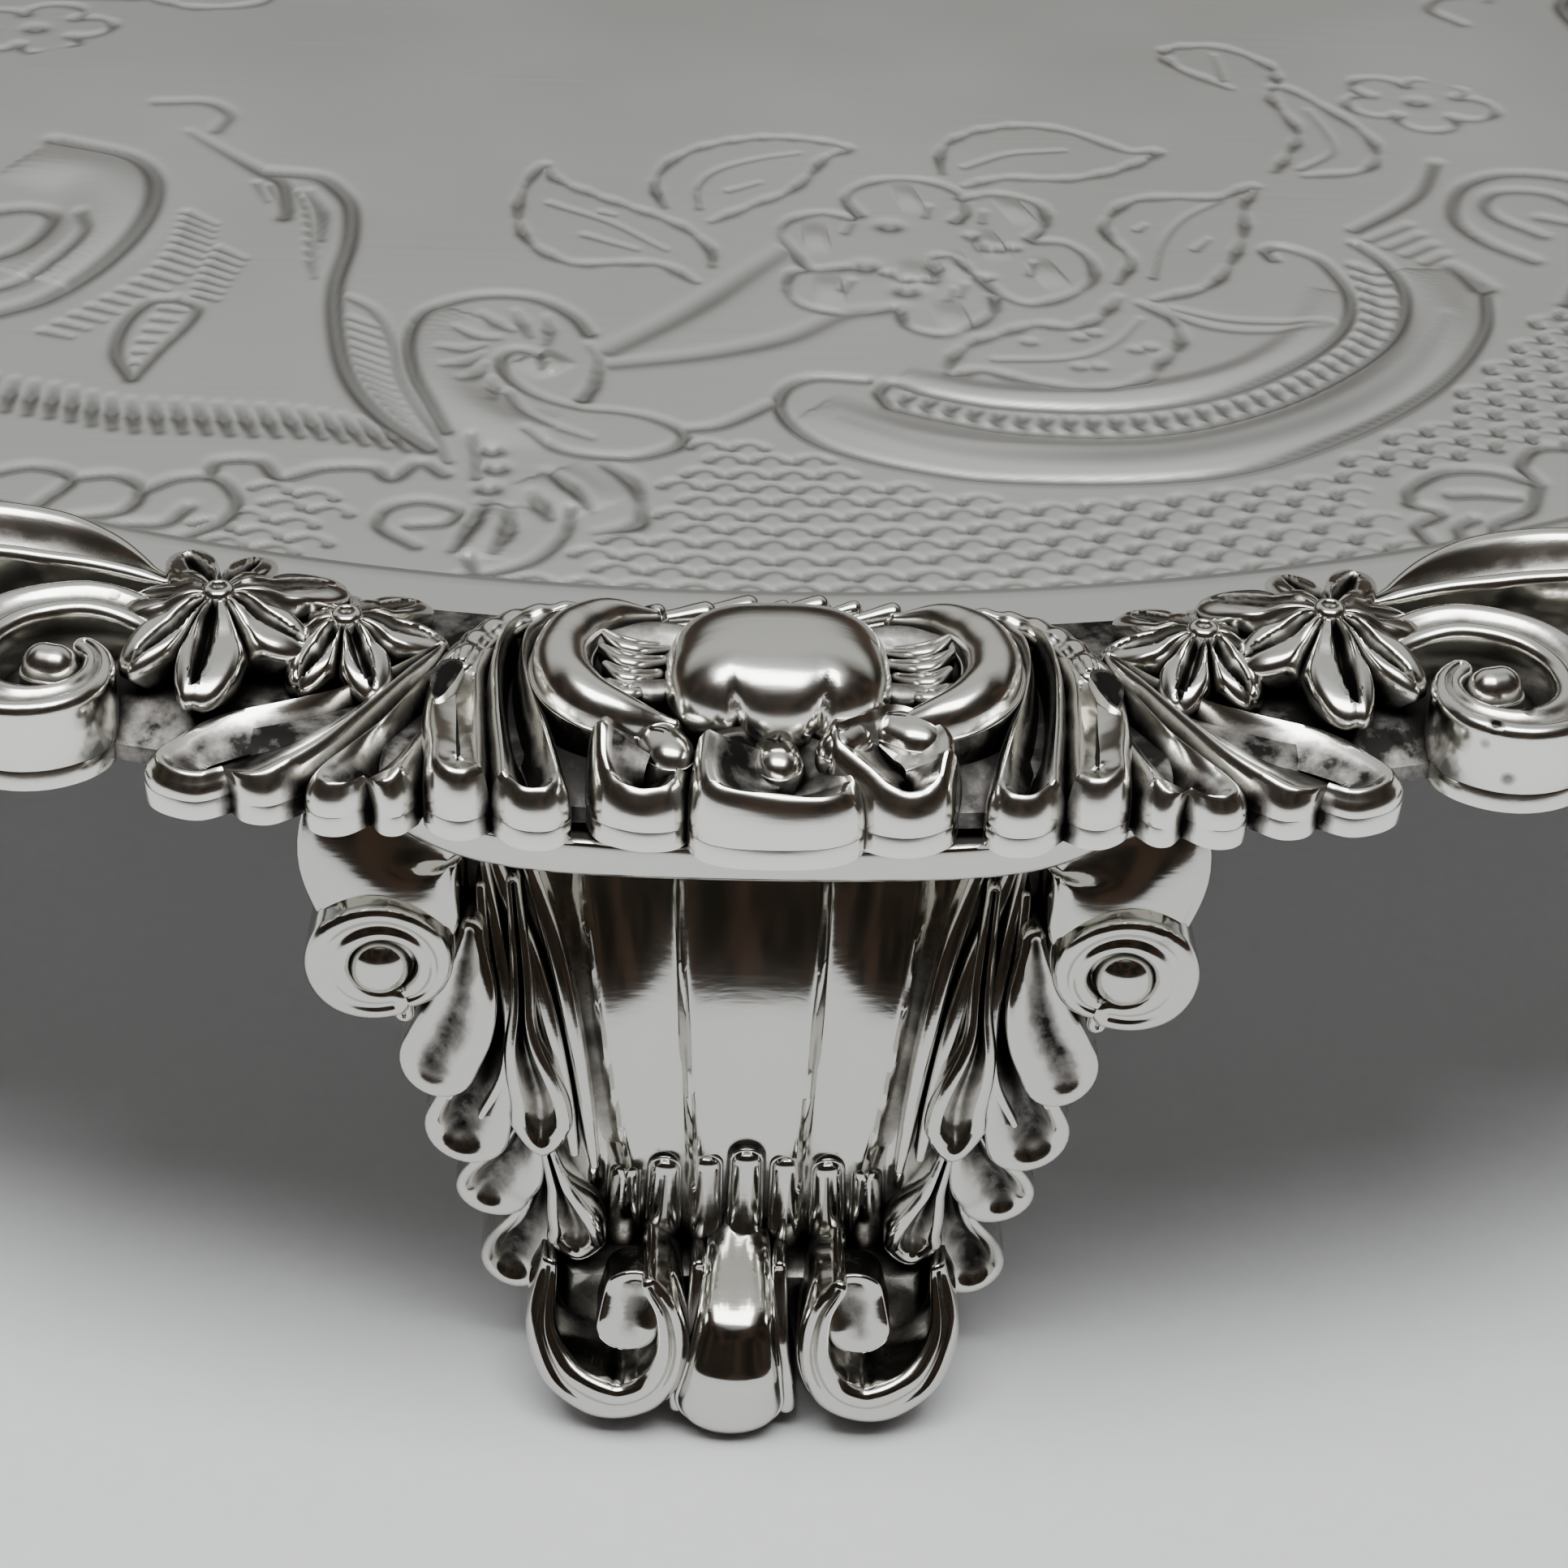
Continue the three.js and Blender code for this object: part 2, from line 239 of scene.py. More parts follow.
        if seam is not None:
            for level, inset in ((seam - 0.02, 0.0), (seam, 0.015), (seam + 0.02, 0.0)):
                add(inset / gap, top * 0 + level, wall + corner + 2 * inset)
        shoulder = top - rim
        for q in (0.3, 0.55, 0.75, 0.9, 1.0):
            low = base if seam is None else seam + 0.02
            add(reach * q**2.5, low + (shoulder - low) * q, wall + corner * (1 - 0.5 * q))
        for q in (0.3, 0.65, 1.0):
            add(reach + edge * q, shoulder + rim * math.sin(q * math.pi / 2), top * 0 + 0.0)
        for u in np.linspace(0, 1, inward + 1)[1:]:
            share = reach + edge + (1 - reach - edge) * u
            ridge = rib * math.exp(-((1 - u) / 0.09) ** 2)
            away = np.clip(u * gap / shade, 0, 1)
            add(share, top - deep * u**power + ridge, tone[0] + (tone[1] - tone[0]) * away * away * (3 - 2 * away))
        plan, height = np.stack(rows), np.stack(heights)
        self.grid(self.place(plan, height), np.stack(tones), loop=True)

    def slab(self, outline, bottom, top, tone=1.0, bevel=0.15, wall_tone=None):
        """A flat-topped closed shape on a convex outline given as points."""
        ring = np.array(outline, float)
        middle = ring.mean(0)
        inner = ring + (middle - ring) * (bevel / np.maximum(np.linalg.norm(middle - ring, axis=1), 1e-6))[:, None]
        rows = [np.repeat(middle[None], len(ring), 0), ring, ring, inner, np.repeat(middle[None], len(ring), 0)]
        levels = [bottom, bottom, top - bevel, top, top]
        plan = np.stack(rows)
        height = np.stack([np.full(len(ring), h) for h in levels])
        wall = tone if wall_tone is None else wall_tone
        tones = np.repeat(np.array([wall, wall, wall, tone, tone])[:, None], len(ring), 1)
        self.grid(self.place(plan, height), tones, loop=True)

    def mesh(self, name, sharp=50):
        data = bpy.data.meshes.new(name)
        points = np.vstack(self.points) * MM
        faces = np.vstack(self.faces)
        data.vertices.add(len(points))
        data.vertices.foreach_set("co", points.ravel())
        data.loops.add(faces.size)
        data.loops.foreach_set("vertex_index", faces.ravel())
        data.polygons.add(len(faces))
        data.polygons.foreach_set("loop_start", np.arange(0, faces.size, 4))
        data.update(calc_edges=True)
        # per-point tone: oxide in the hollows, plus painted shade on the plate's edge and underside and in the leaf's
        # eyes
        tone = data.attributes.new("tarnish_and_painted_shade", "FLOAT", "POINT")
        tone.data.foreach_set("value", np.concatenate(self.tones).astype(np.float32))
        weld(data, sharp)
        return data


def weld(data, sharp):
    """Merges the doubled points along the spines and turns the faces outwards."""
    import bmesh
    work = bmesh.new()
    work.from_mesh(data)
    bmesh.ops.remove_doubles(work, verts=work.verts, dist=2e-7)
    bmesh.ops.recalc_face_normals(work, faces=work.faces)
    work.to_mesh(data)
    work.free()
    data.polygons.foreach_set("use_smooth", [True] * len(data.polygons))
    data.set_sharp_from_angle(angle=math.radians(sharp))


# ---- the border ----

def on_border(plan, height):
    """(distance along the rim, radius) and height above the field to a point in the row frame."""
    angle = plan[..., 0] / ARC_RADIUS
    radius = plan[..., 1]
    return np.stack([radius * np.sin(angle), -radius * np.cos(angle), PLATE_TOP + height], -1)


def mirrored(points, side):
    return [(x * side, r) for x, r in points]


SEAM = 0.55  # joint between the casting and the sheet under it, above the field


def leaf(relief, side):
    """The acanthus beside the rose: three folds, each ending in two scallops on the rim."""
    def fold(runs, spine, depth, order, **more):
        placed = [(mirrored(points, side), crest) for points, crest in runs]
        relief.fold(placed, mirrored(spine, side), depth, base=-0.25 - 0.012 * order - 0.004 * (side + 1), seam=SEAM, **more)

    # far fold
    fold([([(13.6, 92.4), (16.6, 94.6), (19.6, 96.3), (22.0, 97.6), (23.1, 98.9), (23.7, 100.3), (23.3, 101.2),
            (22.4, 101.7), (21.2, 101.75), (20.2, 101.0)], [3.0, 2.6, 2.3, 2.1, 1.7, 1.55, 1.5]),
          ([(20.2, 101.0), (19.5, 101.5), (18.6, 101.45), (17.8, 100.7)], [1.5, 1.65, 1.8, 2.0]),
          ([(17.8, 100.7), (16.6, 99.0), (15.2, 96.2), (13.9, 93.4), (13.6, 92.4)], [2.0, 2.4, 2.7, 2.9])],
         [(14.2, 92.8), (16.2, 95.0), (18.6, 97.4), (20.4, 99.2), (21.4, 100.2)], [0.4, 0.9, 1.2, 1.15, 0.7], 1, power=1.2)
    # middle fold
    fold([([(12.6, 91.8), (14.1, 94.4), (15.3, 96.9), (16.6, 98.9), (17.3, 100.2), (17.35, 101.1), (16.7, 101.7),
            (15.8, 101.6), (15.0, 100.75)], [3.2, 3.0, 2.9, 2.6, 2.2, 1.9, 1.85, 1.75]),
          ([(15.0, 100.75), (14.4, 101.3), (13.8, 101.2), (13.3, 100.4)], [1.75, 1.85, 2.0, 2.3]),
          ([(13.3, 100.4), (13.0, 98.0), (12.6, 94.8), (12.2, 92.0), (12.6, 91.8)], [2.1, 2.2, 2.4, 2.7])],
         [(12.7, 92.4), (13.7, 94.6), (14.5, 96.8), (15.1, 99.0), (15.4, 100.4)], [0.4, 1.1, 1.4, 1.4, 0.9], 2, power=1.25)
    # deep channel next to the rose
    fold([([(8.2, 88.8), (9.5, 89.9), (10.0, 91.4), (9.9, 93.2), (9.3, 95.4), (8.4, 97.7), (7.75, 99.6), (7.65, 100.6),
            (8.3, 101.4), (9.5, 101.4), (10.6, 100.5)], [2.8, 3.0, 3.2, 3.2, 3.1, 3.0, 2.6, 2.2, 2.1, 2.2]),
          ([(10.6, 100.5), (10.9, 99.0), (11.5, 96.4), (12.0, 93.5), (11.9, 91.0), (10.8, 89.3), (9.4, 88.5), (8.2, 88.8)],
           [2.3, 2.6, 2.9, 3.1, 3.2, 3.2, 3.0, 2.8])],
         [(9.2, 89.2), (10.7, 90.6), (11.0, 92.6), (10.6, 95.4), (9.8, 98.2), (9.2, 100.2)], [0.5, 1.4, 1.9, 2.0, 1.7, 0.8], 3,
         power=1.15, tone=(0.0, 1.7), shade=0.95)
    # the stem, which widens into a shallow spoon
    fold([([(7.2, 88.3), (9.2, 88.5), (11.2, 89.1), (12.8, 90.2), (13.9, 91.8), (14.3, 93.8), (14.1, 96.0), (13.8, 97.9),
            (13.4, 99.2)], [2.6, 2.6, 2.6, 2.65, 2.8, 2.9, 2.85]),
          ([(13.4, 99.2), (13.0, 100.5), (12.1, 101.15), (11.3, 101.1), (10.6, 100.5)], [2.85, 2.65, 2.5, 2.45]),
          ([(10.6, 100.5), (10.9, 98.6), (11.4, 95.8), (11.7, 93.6), (11.2, 91.8), (9.9, 90.2), (8.2, 89.4), (7.2, 89.0)],
           [2.45, 2.7, 2.9, 2.9, 2.8, 2.7, 2.6]),
          ([(7.2, 89.0), (7.0, 88.7), (7.2, 88.3)], [2.6])],
         [(7.4, 88.7), (9.6, 89.2), (11.4, 90.3), (12.7, 92.2), (12.9, 94.4), (12.4, 97.4), (12.0, 99.4)],
         [-0.3, -0.3, -0.3, -0.2, 0.0, 0.4, 0.6, 0.4], 4, power=0.8, tone=(0.0, 0.25), rib=0.0)
    # bands across the stem
    ripple = [2.85 + 0.2 * share for share in np.linspace(0, 1, 15)]
    ripple = [high + (0.1 if k % 2 else -0.06) for k, high in enumerate(ripple)]
    relief.lobe(mirrored([(7.6, 88.75), (9.3, 89.2), (10.7, 89.8), (11.8, 90.8), (12.6, 92.2), (12.85, 93.8)], side),
                [0.35, 0.6, 0.7, 0.75, 0.72, 0.6], ripple, 0.16, base=1.6, rim=0.35, profile=dome, count=70, turn=9,
                inward=6, tone=(0.0, 0.0), wall=0.6)
    # eye between the folds: a flat near-black teardrop, painted shade standing in for the dark of its hole
    relief.lobe(mirrored([(13.15, 94.6), (13.3, 95.3), (13.3, 96.3)], side), [0.5, 0.58, 0.22], [3.2, 3.12, 3.0], 0.06,
                base=2.0, rim=0.06, tip=(1.8, 1.4), tone=(1.6, 2.2), wall=0.2, count=8)


LARGE_FLOWER = ((4.4, -0.3), (2.3, 3.9), (-0.8, 5.2), (-4.0, 0.9), (-4.1, -3.6), (0.1, -5.0), (3.7, -4.6))
SMALL_FLOWER = ((3.4, -0.6), (1.2, 3.0), (-1.9, 3.0), (-3.9, -0.9), (-2.4, -3.6), (1.4, -3.4))


def flower(relief, centre, tips, waist, height, side):
    """Broad petals round a ring, as one closed shape: each has two full cheeks and a dark groove, and droops.

    tips are the petals' ends from the centre, in order round it; waist is how far out neighbours part.
    """
    tips = [(dx * side, dr) for dx, dr in tips]
    bearing = np.unwrap([math.atan2(dr, dx) for dx, dr in tips])
    reach = [math.hypot(dx, dr) for dx, dr in tips]
    petals, per = len(tips), 30
    turn = 2 * math.pi * (1 if bearing[-1] > bearing[0] else -1)
    angles, lengths, across, pitch = [], [], [], []
    for k in range(petals):
        before = (bearing[k] + (bearing[k - 1] - (turn if k == 0 else 0))) / 2
        after = (bearing[k] + (bearing[k + 1] if k + 1 < petals else bearing[0] + turn)) / 2
        for q in np.linspace(-1, 1, per, endpoint=False) + 1 / per:
            end = before if q < 0 else after
            angles.append(bearing[k] + abs(q) * (end - bearing[k]))
            lengths.append(reach[k])
            across.append(abs(q))
            pitch.append(abs(end - bearing[k]))
    angles, lengths, across, pitch = (np.array(v)[None, :] for v in (angles, lengths, across, pitch))
    limit = lengths - (lengths - waist) * across**1.05
    limit = limit + 0.3 * np.sin(np.pi * across**0.6) * (lengths - waist)
    u = np.concatenate([np.linspace(0.05, 0.86, 18), [0.91, 0.95, 0.98, 1.0]])[:, None]
    rho = u * limit
    beside = rho * np.sin(across * pitch)
    out = rho / lengths
    groove_half = 0.42 * np.sin(np.pi * np.clip((out - 0.1) / 0.86, 0.02, 1)) ** 0.7 + 0.02
    cut = np.clip(1 - beside / groove_half, 0, 1)
    crease = np.clip((across - 0.66) / 0.34, 0, 1) ** 2 * np.clip(u * 1.6, 0, 1)
    edge = np.clip((u - 0.8) / 0.2, 0, 1)
    top = height + 0.3 * np.sin(np.pi * np.clip(out / 0.5, 0, 1)) - 0.95 * out**1.9
    z = top - 0.75 * cut**0.8 * np.clip(out * 4, 0, 1) - 0.85 * crease - 0.4 * (1 - np.sqrt(1 - edge**2))
    tone = 1.6 * np.clip(cut * 2.2, 0, 1) + 1.5 * crease**1.5
    x = side * centre[0] + rho * np.cos(angles)
    r = centre[1] + rho * np.sin(angles)
    under = np.stack([z[-1] - 0.3, 0 * z[0] + 0.7, 0 * z[0] + 0.6])
    plan_x = np.concatenate([x, x[-1:], x[12:13], x[:1]])
    plan_r = np.concatenate([r, r[-1:], r[12:13], r[:1]])
    level = np.concatenate([z, under])
    dark = np.concatenate([tone, np.stack([0 * z[0] + 1.0, 0 * z[0] + 2.0, 0 * z[0] + 2.0])])
    relief.grid(relief.place(np.stack([plan_x, plan_r], -1), level), dark, loop=True)
    relief.lobe([(side * centre[0] - 0.02, centre[1]), (side * centre[0] + 0.02, centre[1])], 0.68, height + 0.45, 0.55,
                base=1.5, rim=0.3, tone=(0.0, 1.8), count=3, turn=11)


def bud(relief):
    """The closed bud: a swelling form cut into three petals by two seams."""
    turns, rises = 150, 46
    t = np.linspace(0, 2 * math.pi, turns, endpoint=False)[None, :]
    s = np.linspace(0, 1, rises)[:, None]
    swell = np.sin(np.radians(28 + 152 * s)) ** 0.72
    x = 4.5 * swell * np.sign(np.cos(t)) * np.abs(np.cos(t)) ** 0.7
    r = 94.7 + 3.55 * swell * np.sign(np.sin(t)) * np.abs(np.sin(t)) ** 0.7
    z = 1.0 + 4.7 * ((1 - np.cos(np.radians(20 + 160 * s))) / 2) ** 0.85
    front = np.clip(np.sin(t), 0, 1)
    cut = 0
    for seam_x, bend in ((-1.55, -0.5), (1.45, 0.65)):
        away = x - seam_x - bend * (z - 3.0) / 3
        cut = cut + np.exp(-(away / 0.15) ** 2) + 0.35 * np.exp(-(away / 0.5) ** 2)
    low = np.clip((5.35 - z) / 1.2, 0, 1)
    bulge = 0.25 * np.cos(np.clip(x / 1.5, -1, 1) * math.pi / 2) * front
    r = r + (bulge - 0.3 * cut * low) * front
    tone = np.clip(1.1 - (z - 1.2) / 1.6, 0, 1) + 0.5 * np.clip(cut - 0.8, 0, 1) * low * front
    relief.grid(relief.place(np.stack([x + 0 * z, r + 0 * z], -1), z + 0 * x), tone, loop=True)


def rose(relief):
    """The bud in its wrapped petals, with two side petals and three in front."""
    bud(relief)
    for side in (-1, 1):
        # hollow behind the side petal, cut with curved strokes
        relief.lobe(mirrored([(3.4, 93.2), (5.4, 93.4), (7.0, 93.6)], side), [2.4, 2.9, 2.2], [3.5, 3.5, 3.4], 0.9, base=0.5,
                    rim=0.5, tone=(1.0, 1.8), wall=1.6, count=12, turn=13)
        relief.lobe(mirrored([(5.2, 89.8), (7.1, 90.3), (8.4, 91.8), (8.8, 93.8), (8.1, 95.8), (6.5, 97.0), (4.0, 97.3)], side),
                    [0.35, 0.9, 1.25, 1.35, 1.3, 1.1, 0.4], [2.7, 3.0, 3.2, 3.2, 3.1, 2.8, 2.4],
                    [0.6, 1.1, 1.3, 1.35, 1.35, 1.2, 0.6], base=0.4, rim=0.1, profile=dome, tone=(0.0, 0.0), wall=1.6,
                    count=44, turn=11, inward=12)
        for k in range(4):
            start = (4.6 + 0.15 * k, 92.0 + 1.0 * k)
            end = (7.5 - 0.28 * k, 91.6 + 1.25 * k)
            middle = ((start[0] + end[0]) / 2 + 0.1, (start[1] + end[1]) / 2 + 0.75)
            relief.lobe(mirrored([start, middle, end], side), [0.35, 0.55, 0.15], [3.1, 3.6, 3.5], [0.1, 0.2, 0.0], base=2.0,
                        rim=0.35, profile=spoon, tone=(0.55, 0.9), wall=1.6, count=14, turn=7, inward=4)
    # front petals: left, middle, then the right one that laps over it
    relief.fold([([(-7.3, 98.3), (-7.15, 99.6), (-6.6, 100.6), (-5.7, 101.05), (-4.8, 101.2), (-3.8, 101.0), (-3.2, 100.3)],
                  [3.7, 3.0, 2.4, 2.1, 2.05, 2.15, 2.3]),
                 ([(-3.2, 100.3), (-3.0, 98.6), (-3.6, 97.0), (-4.8, 96.5), (-6.2, 96.9), (-7.3, 98.3)],
                  [2.3, 2.8, 3.0, 3.1])],
                [(-4.6, 98.4), (-4.9, 99.4), (-5.0, 99.8)], [1.0, 1.1, 0.9], base=-0.29, seam=SEAM, rim=0.38, shade=0.7, power=1.0, tone=(0.0, 1.5))
    relief.fold([([(-3.3, 98.9), (-3.35, 100.4), (-3.0, 101.4), (-2.0, 101.95), (-0.2, 102.1), (1.7, 101.95), (2.9, 101.3),
                   (3.3, 100.2)], [3.7, 3.2, 2.85, 2.7, 2.6, 2.5, 2.45, 2.4]),
                 ([(3.3, 100.2), (3.0, 98.6), (1.6, 97.6), (0, 97.3), (-1.8, 97.6), (-3.3, 98.9)], [2.4, 2.8, 3.2, 3.5])],
                [(-0.2, 98.6), (-0.1, 99.6), (0, 100.2)], [1.1, 1.3, 1.0], base=-0.31, seam=SEAM, rim=0.38, shade=0.7, power=0.9, tone=(0.0, 1.5))
    relief.fold([([(1.4, 98.6), (1.7, 99.5), (2.7, 100.3), (3.5, 101.0), (4.5, 101.3), (5.5, 101.15), (6.4, 100.5), (6.9, 99.2)],
                  [3.6, 3.3, 2.8, 2.4, 2.15, 2.2, 2.6, 3.1]),
                 ([(6.9, 99.2), (6.8, 97.8), (5.6, 96.6), (4.4, 96.3), (3.0, 97.0), (1.4, 98.6)], [3.1, 3.5, 3.7, 3.7])],
                [(3.8, 98.0), (4.5, 98.9), (4.7, 99.4)], [1.1, 1.2, 0.9], base=-0.33, seam=SEAM, rim=0.38, shade=0.7, power=1.0, tone=(0.0, 1.2))
    # curled inner tips, each with a slot
    for x, r, aim, high, half in ((-4.3, 98.2, 0.5, 2.35, 1.0), (-0.1, 98.6, 0.15, 2.3, 0.95), (4.9, 97.4, 0.9, 2.7, 1.1),
                                  (2.5, 98.2, -0.7, 2.7, 0.85)):
        dx, dr = math.sin(aim), math.cos(aim)
        relief.lobe([(x - 0.35 * dx, r - 0.35 * dr), (x + 0.35 * dx, r + 0.35 * dr)], half, high, 0.75, base=0.8, rim=0.05,
                    profile=dome, tone=(0.0, 0.0), wall=1.0, count=6, turn=19, inward=14, root=(1.0, 2.0), tip=(1.2, 2.0))
        relief.lobe([(x - 0.45 * dx - 0.3, r - 0.3 * dr), (x, r - 0.05), (x + 0.4 * dx - 0.1, r + 0.45 * dr)],
                    [0.12, 0.2, 0.1], [high + 0.74, high + 0.8, high + 0.66], 0.04, base=high, rim=0.05, count=8, turn=7,
                    inward=3, tone=(1.8, 2.2), wall=0.5)
    # leaf bits that show behind the bud
    for x, r, w in ((-2.1, 88.4, 0.9), (-0.4, 88.7, 0.75), (1.1, 88.3, 0.85), (2.8, 88.7, 0.7), (4.4, 88.9, 0.8), (-4.0, 89.0, 0.9),
                    (6.0, 89.2, 0.9), (-6.0, 89.3, 0.8)):
        relief.lobe([(x - w, r + 0.15), (x + w, r)], [w * 0.55, w * 0.75], [2.5, 2.8], [0.35, 0.5], base=0.8, rim=0.1,
                    profile=dome, wall=1.0, count=8, turn=9, inward=6, tone=(0.0, 0.0))


def backing(relief, start, end, inner, outer, steps=40):
    """The casting's thin dark ground between its shapes, as a closed strip."""
    xs = np.linspace(start, end, steps)
    section = [(inner, -0.2), (inner + 0.5, 1.4), (outer - 1.6, 1.6), (outer, 0.5), (outer, -0.2)]
    plan = np.stack([np.stack([xs, np.full(steps, r)], -1) for r, _ in section + section[:1]])
    height = np.stack([np.full(steps, h) for _, h in section + section[:1]])
    relief.grid(relief.place(plan, height), np.full(height.shape, 1.6))


def make_rose_casting():
    relief = Relief(on_border)
    backing(relief, -22.2, 22.2, 87.2, 99.6)
    backing(relief, -27.5, 27.5, 88.2, 98.7)
    for side in (-1, 1):
        leaf(relief, side)
        flower(relief, (18.0, 92.6), SMALL_FLOWER, 2.0, 3.5, side)
        flower(relief, (23.3, 93.1), LARGE_FLOWER, 2.7, 4.2, side)
    rose(relief)
    return relief.mesh("rose_casting")


def spiral(centre, start, end, reach, side, count=40):
    """Points round a centre: start and end are angles in degrees from the inward direction, reach their distances."""
    angles = np.linspace(start, end, count)
    keys = np.linspace(start, end, len(reach))
    far = np.interp(angles, keys, reach)
    a = np.radians(angles)
    return [(centre[0] + side * f * math.sin(t), centre[1] - f * math.cos(t)) for f, t in zip(far, a)]


def make_scroll_casting():
    relief = Relief(on_border)
    middle = math.pi / ROSES * ARC_RADIUS  # half of the repeat
    backing(relief, -26.2, 26.2, 89.4, 98.6)
    for side in (-1, 1):
        near = (side * (middle - 28.4), 98.0)
        # volute beside the flower
        relief.lobe(spiral(near, -38, 330, [4.9, 4.2, 3.7, 3.1, 2.45, 1.95, 1.6], -side),
                    [0.9, 1.15, 1.2, 1.15, 1.05, 0.85, 0.5], [3.3, 3.8, 3.8, 3.5, 3.4, 3.4, 3.5],
                    [0.2, 0.35, 0.35, 0.3, 0.25, 0.2, 0.1], base=-0.27, seam=SEAM, rim=0.45, count=60, inward=6)
        relief.lobe([(near[0] - 0.25, near[1]), (near[0] + 0.25, near[1])], 1.0, 2.9, 1.0, base=0.5, rim=0.1,
                    profile=dome, count=4, turn=15, inward=8)
        # C-scroll channel behind it, from a point beside the flower to a second volute
        centre = (side * (middle - 31.5), 98.2)
        arc = []
        for degrees in np.linspace(-22, 96, 14):
            t = math.radians(degrees)
            arc.append((centre[0] - side * 12.2 * math.sin(t), centre[1] - 8.3 * math.cos(t)))
        relief.lobe(arc, [0.25, 1.2, 1.9, 2.1, 2.1, 2.0, 1.9, 1.7, 1.5], [3.0, 3.6, 3.9, 4.0, 4.0, 3.9, 3.7, 3.5],
                    [0.2, 0.9, 1.3, 1.4, 1.4, 1.3, 1.1, 0.8], base=0.3, rim=0.4, count=50, inward=10, root=(2.0, 1.3))
        far = (side * (middle - 41.2), 98.3)
        relief.lobe(spiral(far, 60, 400, [2.6, 2.5, 2.35, 2.2, 1.9, 1.5], -side),
                    [1.1, 1.1, 1.05, 0.95, 0.8, 0.5], [3.5, 3.5, 3.4, 3.4, 3.5], 0.25, base=-0.28, seam=SEAM,
                    rim=0.4, count=50, inward=6)
        relief.lobe([(far[0] - 0.2, far[1]), (far[0] + 0.2, far[1])], 0.9, 2.9, 0.9, base=0.5, rim=0.1,
                    profile=dome, count=4, turn=15, inward=8)
        # small scalloped leaf that fills the rim between the two volutes
        for k, x in enumerate((33.6, 36.0, 38.2)):
            relief.lobe([(side * (middle - 34.6 - 0.4 * k), 94.5), (side * (middle - x), 98.5),
                         (side * (middle - x), 99.6 + 0.3 * (k == 1))], [0.5, 1.05, 1.2], [2.6, 3.3, 3.1],
                        [0.3, 0.8, 0.7], base=-0.29 - 0.01 * k, seam=SEAM, rim=0.35)
    # shell on the middle
    ribs = 7
    for k in range(ribs):
        spread = (k - (ribs - 1) / 2) / ((ribs - 1) / 2)
        tip = (5.2 * spread, 100.3 - 2.2 * spread**2)
        relief.lobe([(1.2 * spread, 89.8 + 0.5 * spread**2), (3.4 * spread, 95.0 - 0.4 * spread**2), tip],
                    [0.35, 0.75, 1.0], [3.2, 4.2, 3.4], [0.0, -0.15, 0.4], base=-0.31 - 0.01 * k, seam=SEAM, rim=0.3,
                    count=18, turn=9, inward=6)
    relief.lobe([(-0.3, 89.4), (0.3, 89.4)], 1.0, 3.4, 0.8, base=0.8, rim=0.2, profile=dome, count=4, turn=13,
                inward=6)
    return relief.mesh("scroll_casting")


# ---- the feet ----

FOOT_TOP = FOOT_HIGH[2]
FRONT = ((0, 96.0), (3, 94.6), (6, 94.6), (9, 95.6), (13, 96.2), (17, 96.0), (20, 95.3), (23, 94.0), (26, 92.2),
         (29, 89.9))  # (height above the floor, radius) down the middle of the foot's front


def front_radius(z):
    line, _ = smooth_line([(h, r) for h, r in FRONT], 200)
    return np.interp(z, line[:, 0], line[:, 1])


def on_foot(plan, height):
    """(distance from the foot's axis, height above the floor) and height proud of the front face."""
    a, z = plan[..., 0], plan[..., 1]
    radius = front_radius(z) - a**2 / 120 + height
    c, s = math.cos(FOOT_TURN), math.sin(FOOT_TURN)
    return np.stack([a * c + radius * s, a * s - radius * c, z], -1)


def on_face(face):
    """As on_foot, on an upright flat face at this radius."""
    def place(plan, height):
        a, z = plan[..., 0], plan[..., 1]
        radius = face + height
        c, s = math.cos(FOOT_TURN), math.sin(FOOT_TURN)
        return np.stack([a * c + radius * s, a * s - radius * c, z + 0 * a], -1)
    return place


def flute_depth(a, z):
    """Three hollow flutes with sharp arrises down the middle of the front, and a narrower one each side."""
    spread = 5.0 + (6.9 - 5.0) * np.clip((z - 12) / 12, 0, 1)
    t = np.abs(a) / spread
    edges = (-0.43, 0.43, 1.0, 1.3)
    depth = np.zeros_like(t)
    for low, high, deep in zip(edges[:-1], edges[1:], (0.75, 0.6, 0.4)):
        inside = (t >= max(low, 0)) & (t < high)
        share = np.clip((t - low) / (high - low), 0, 1)
        depth = np.where(inside, deep * np.sin(np.pi * share) ** 0.8, depth)
    bead = sum(0.16 * np.exp(-((t - e) / 0.022) ** 2) for e in edges[1:3])
    return -depth + bead


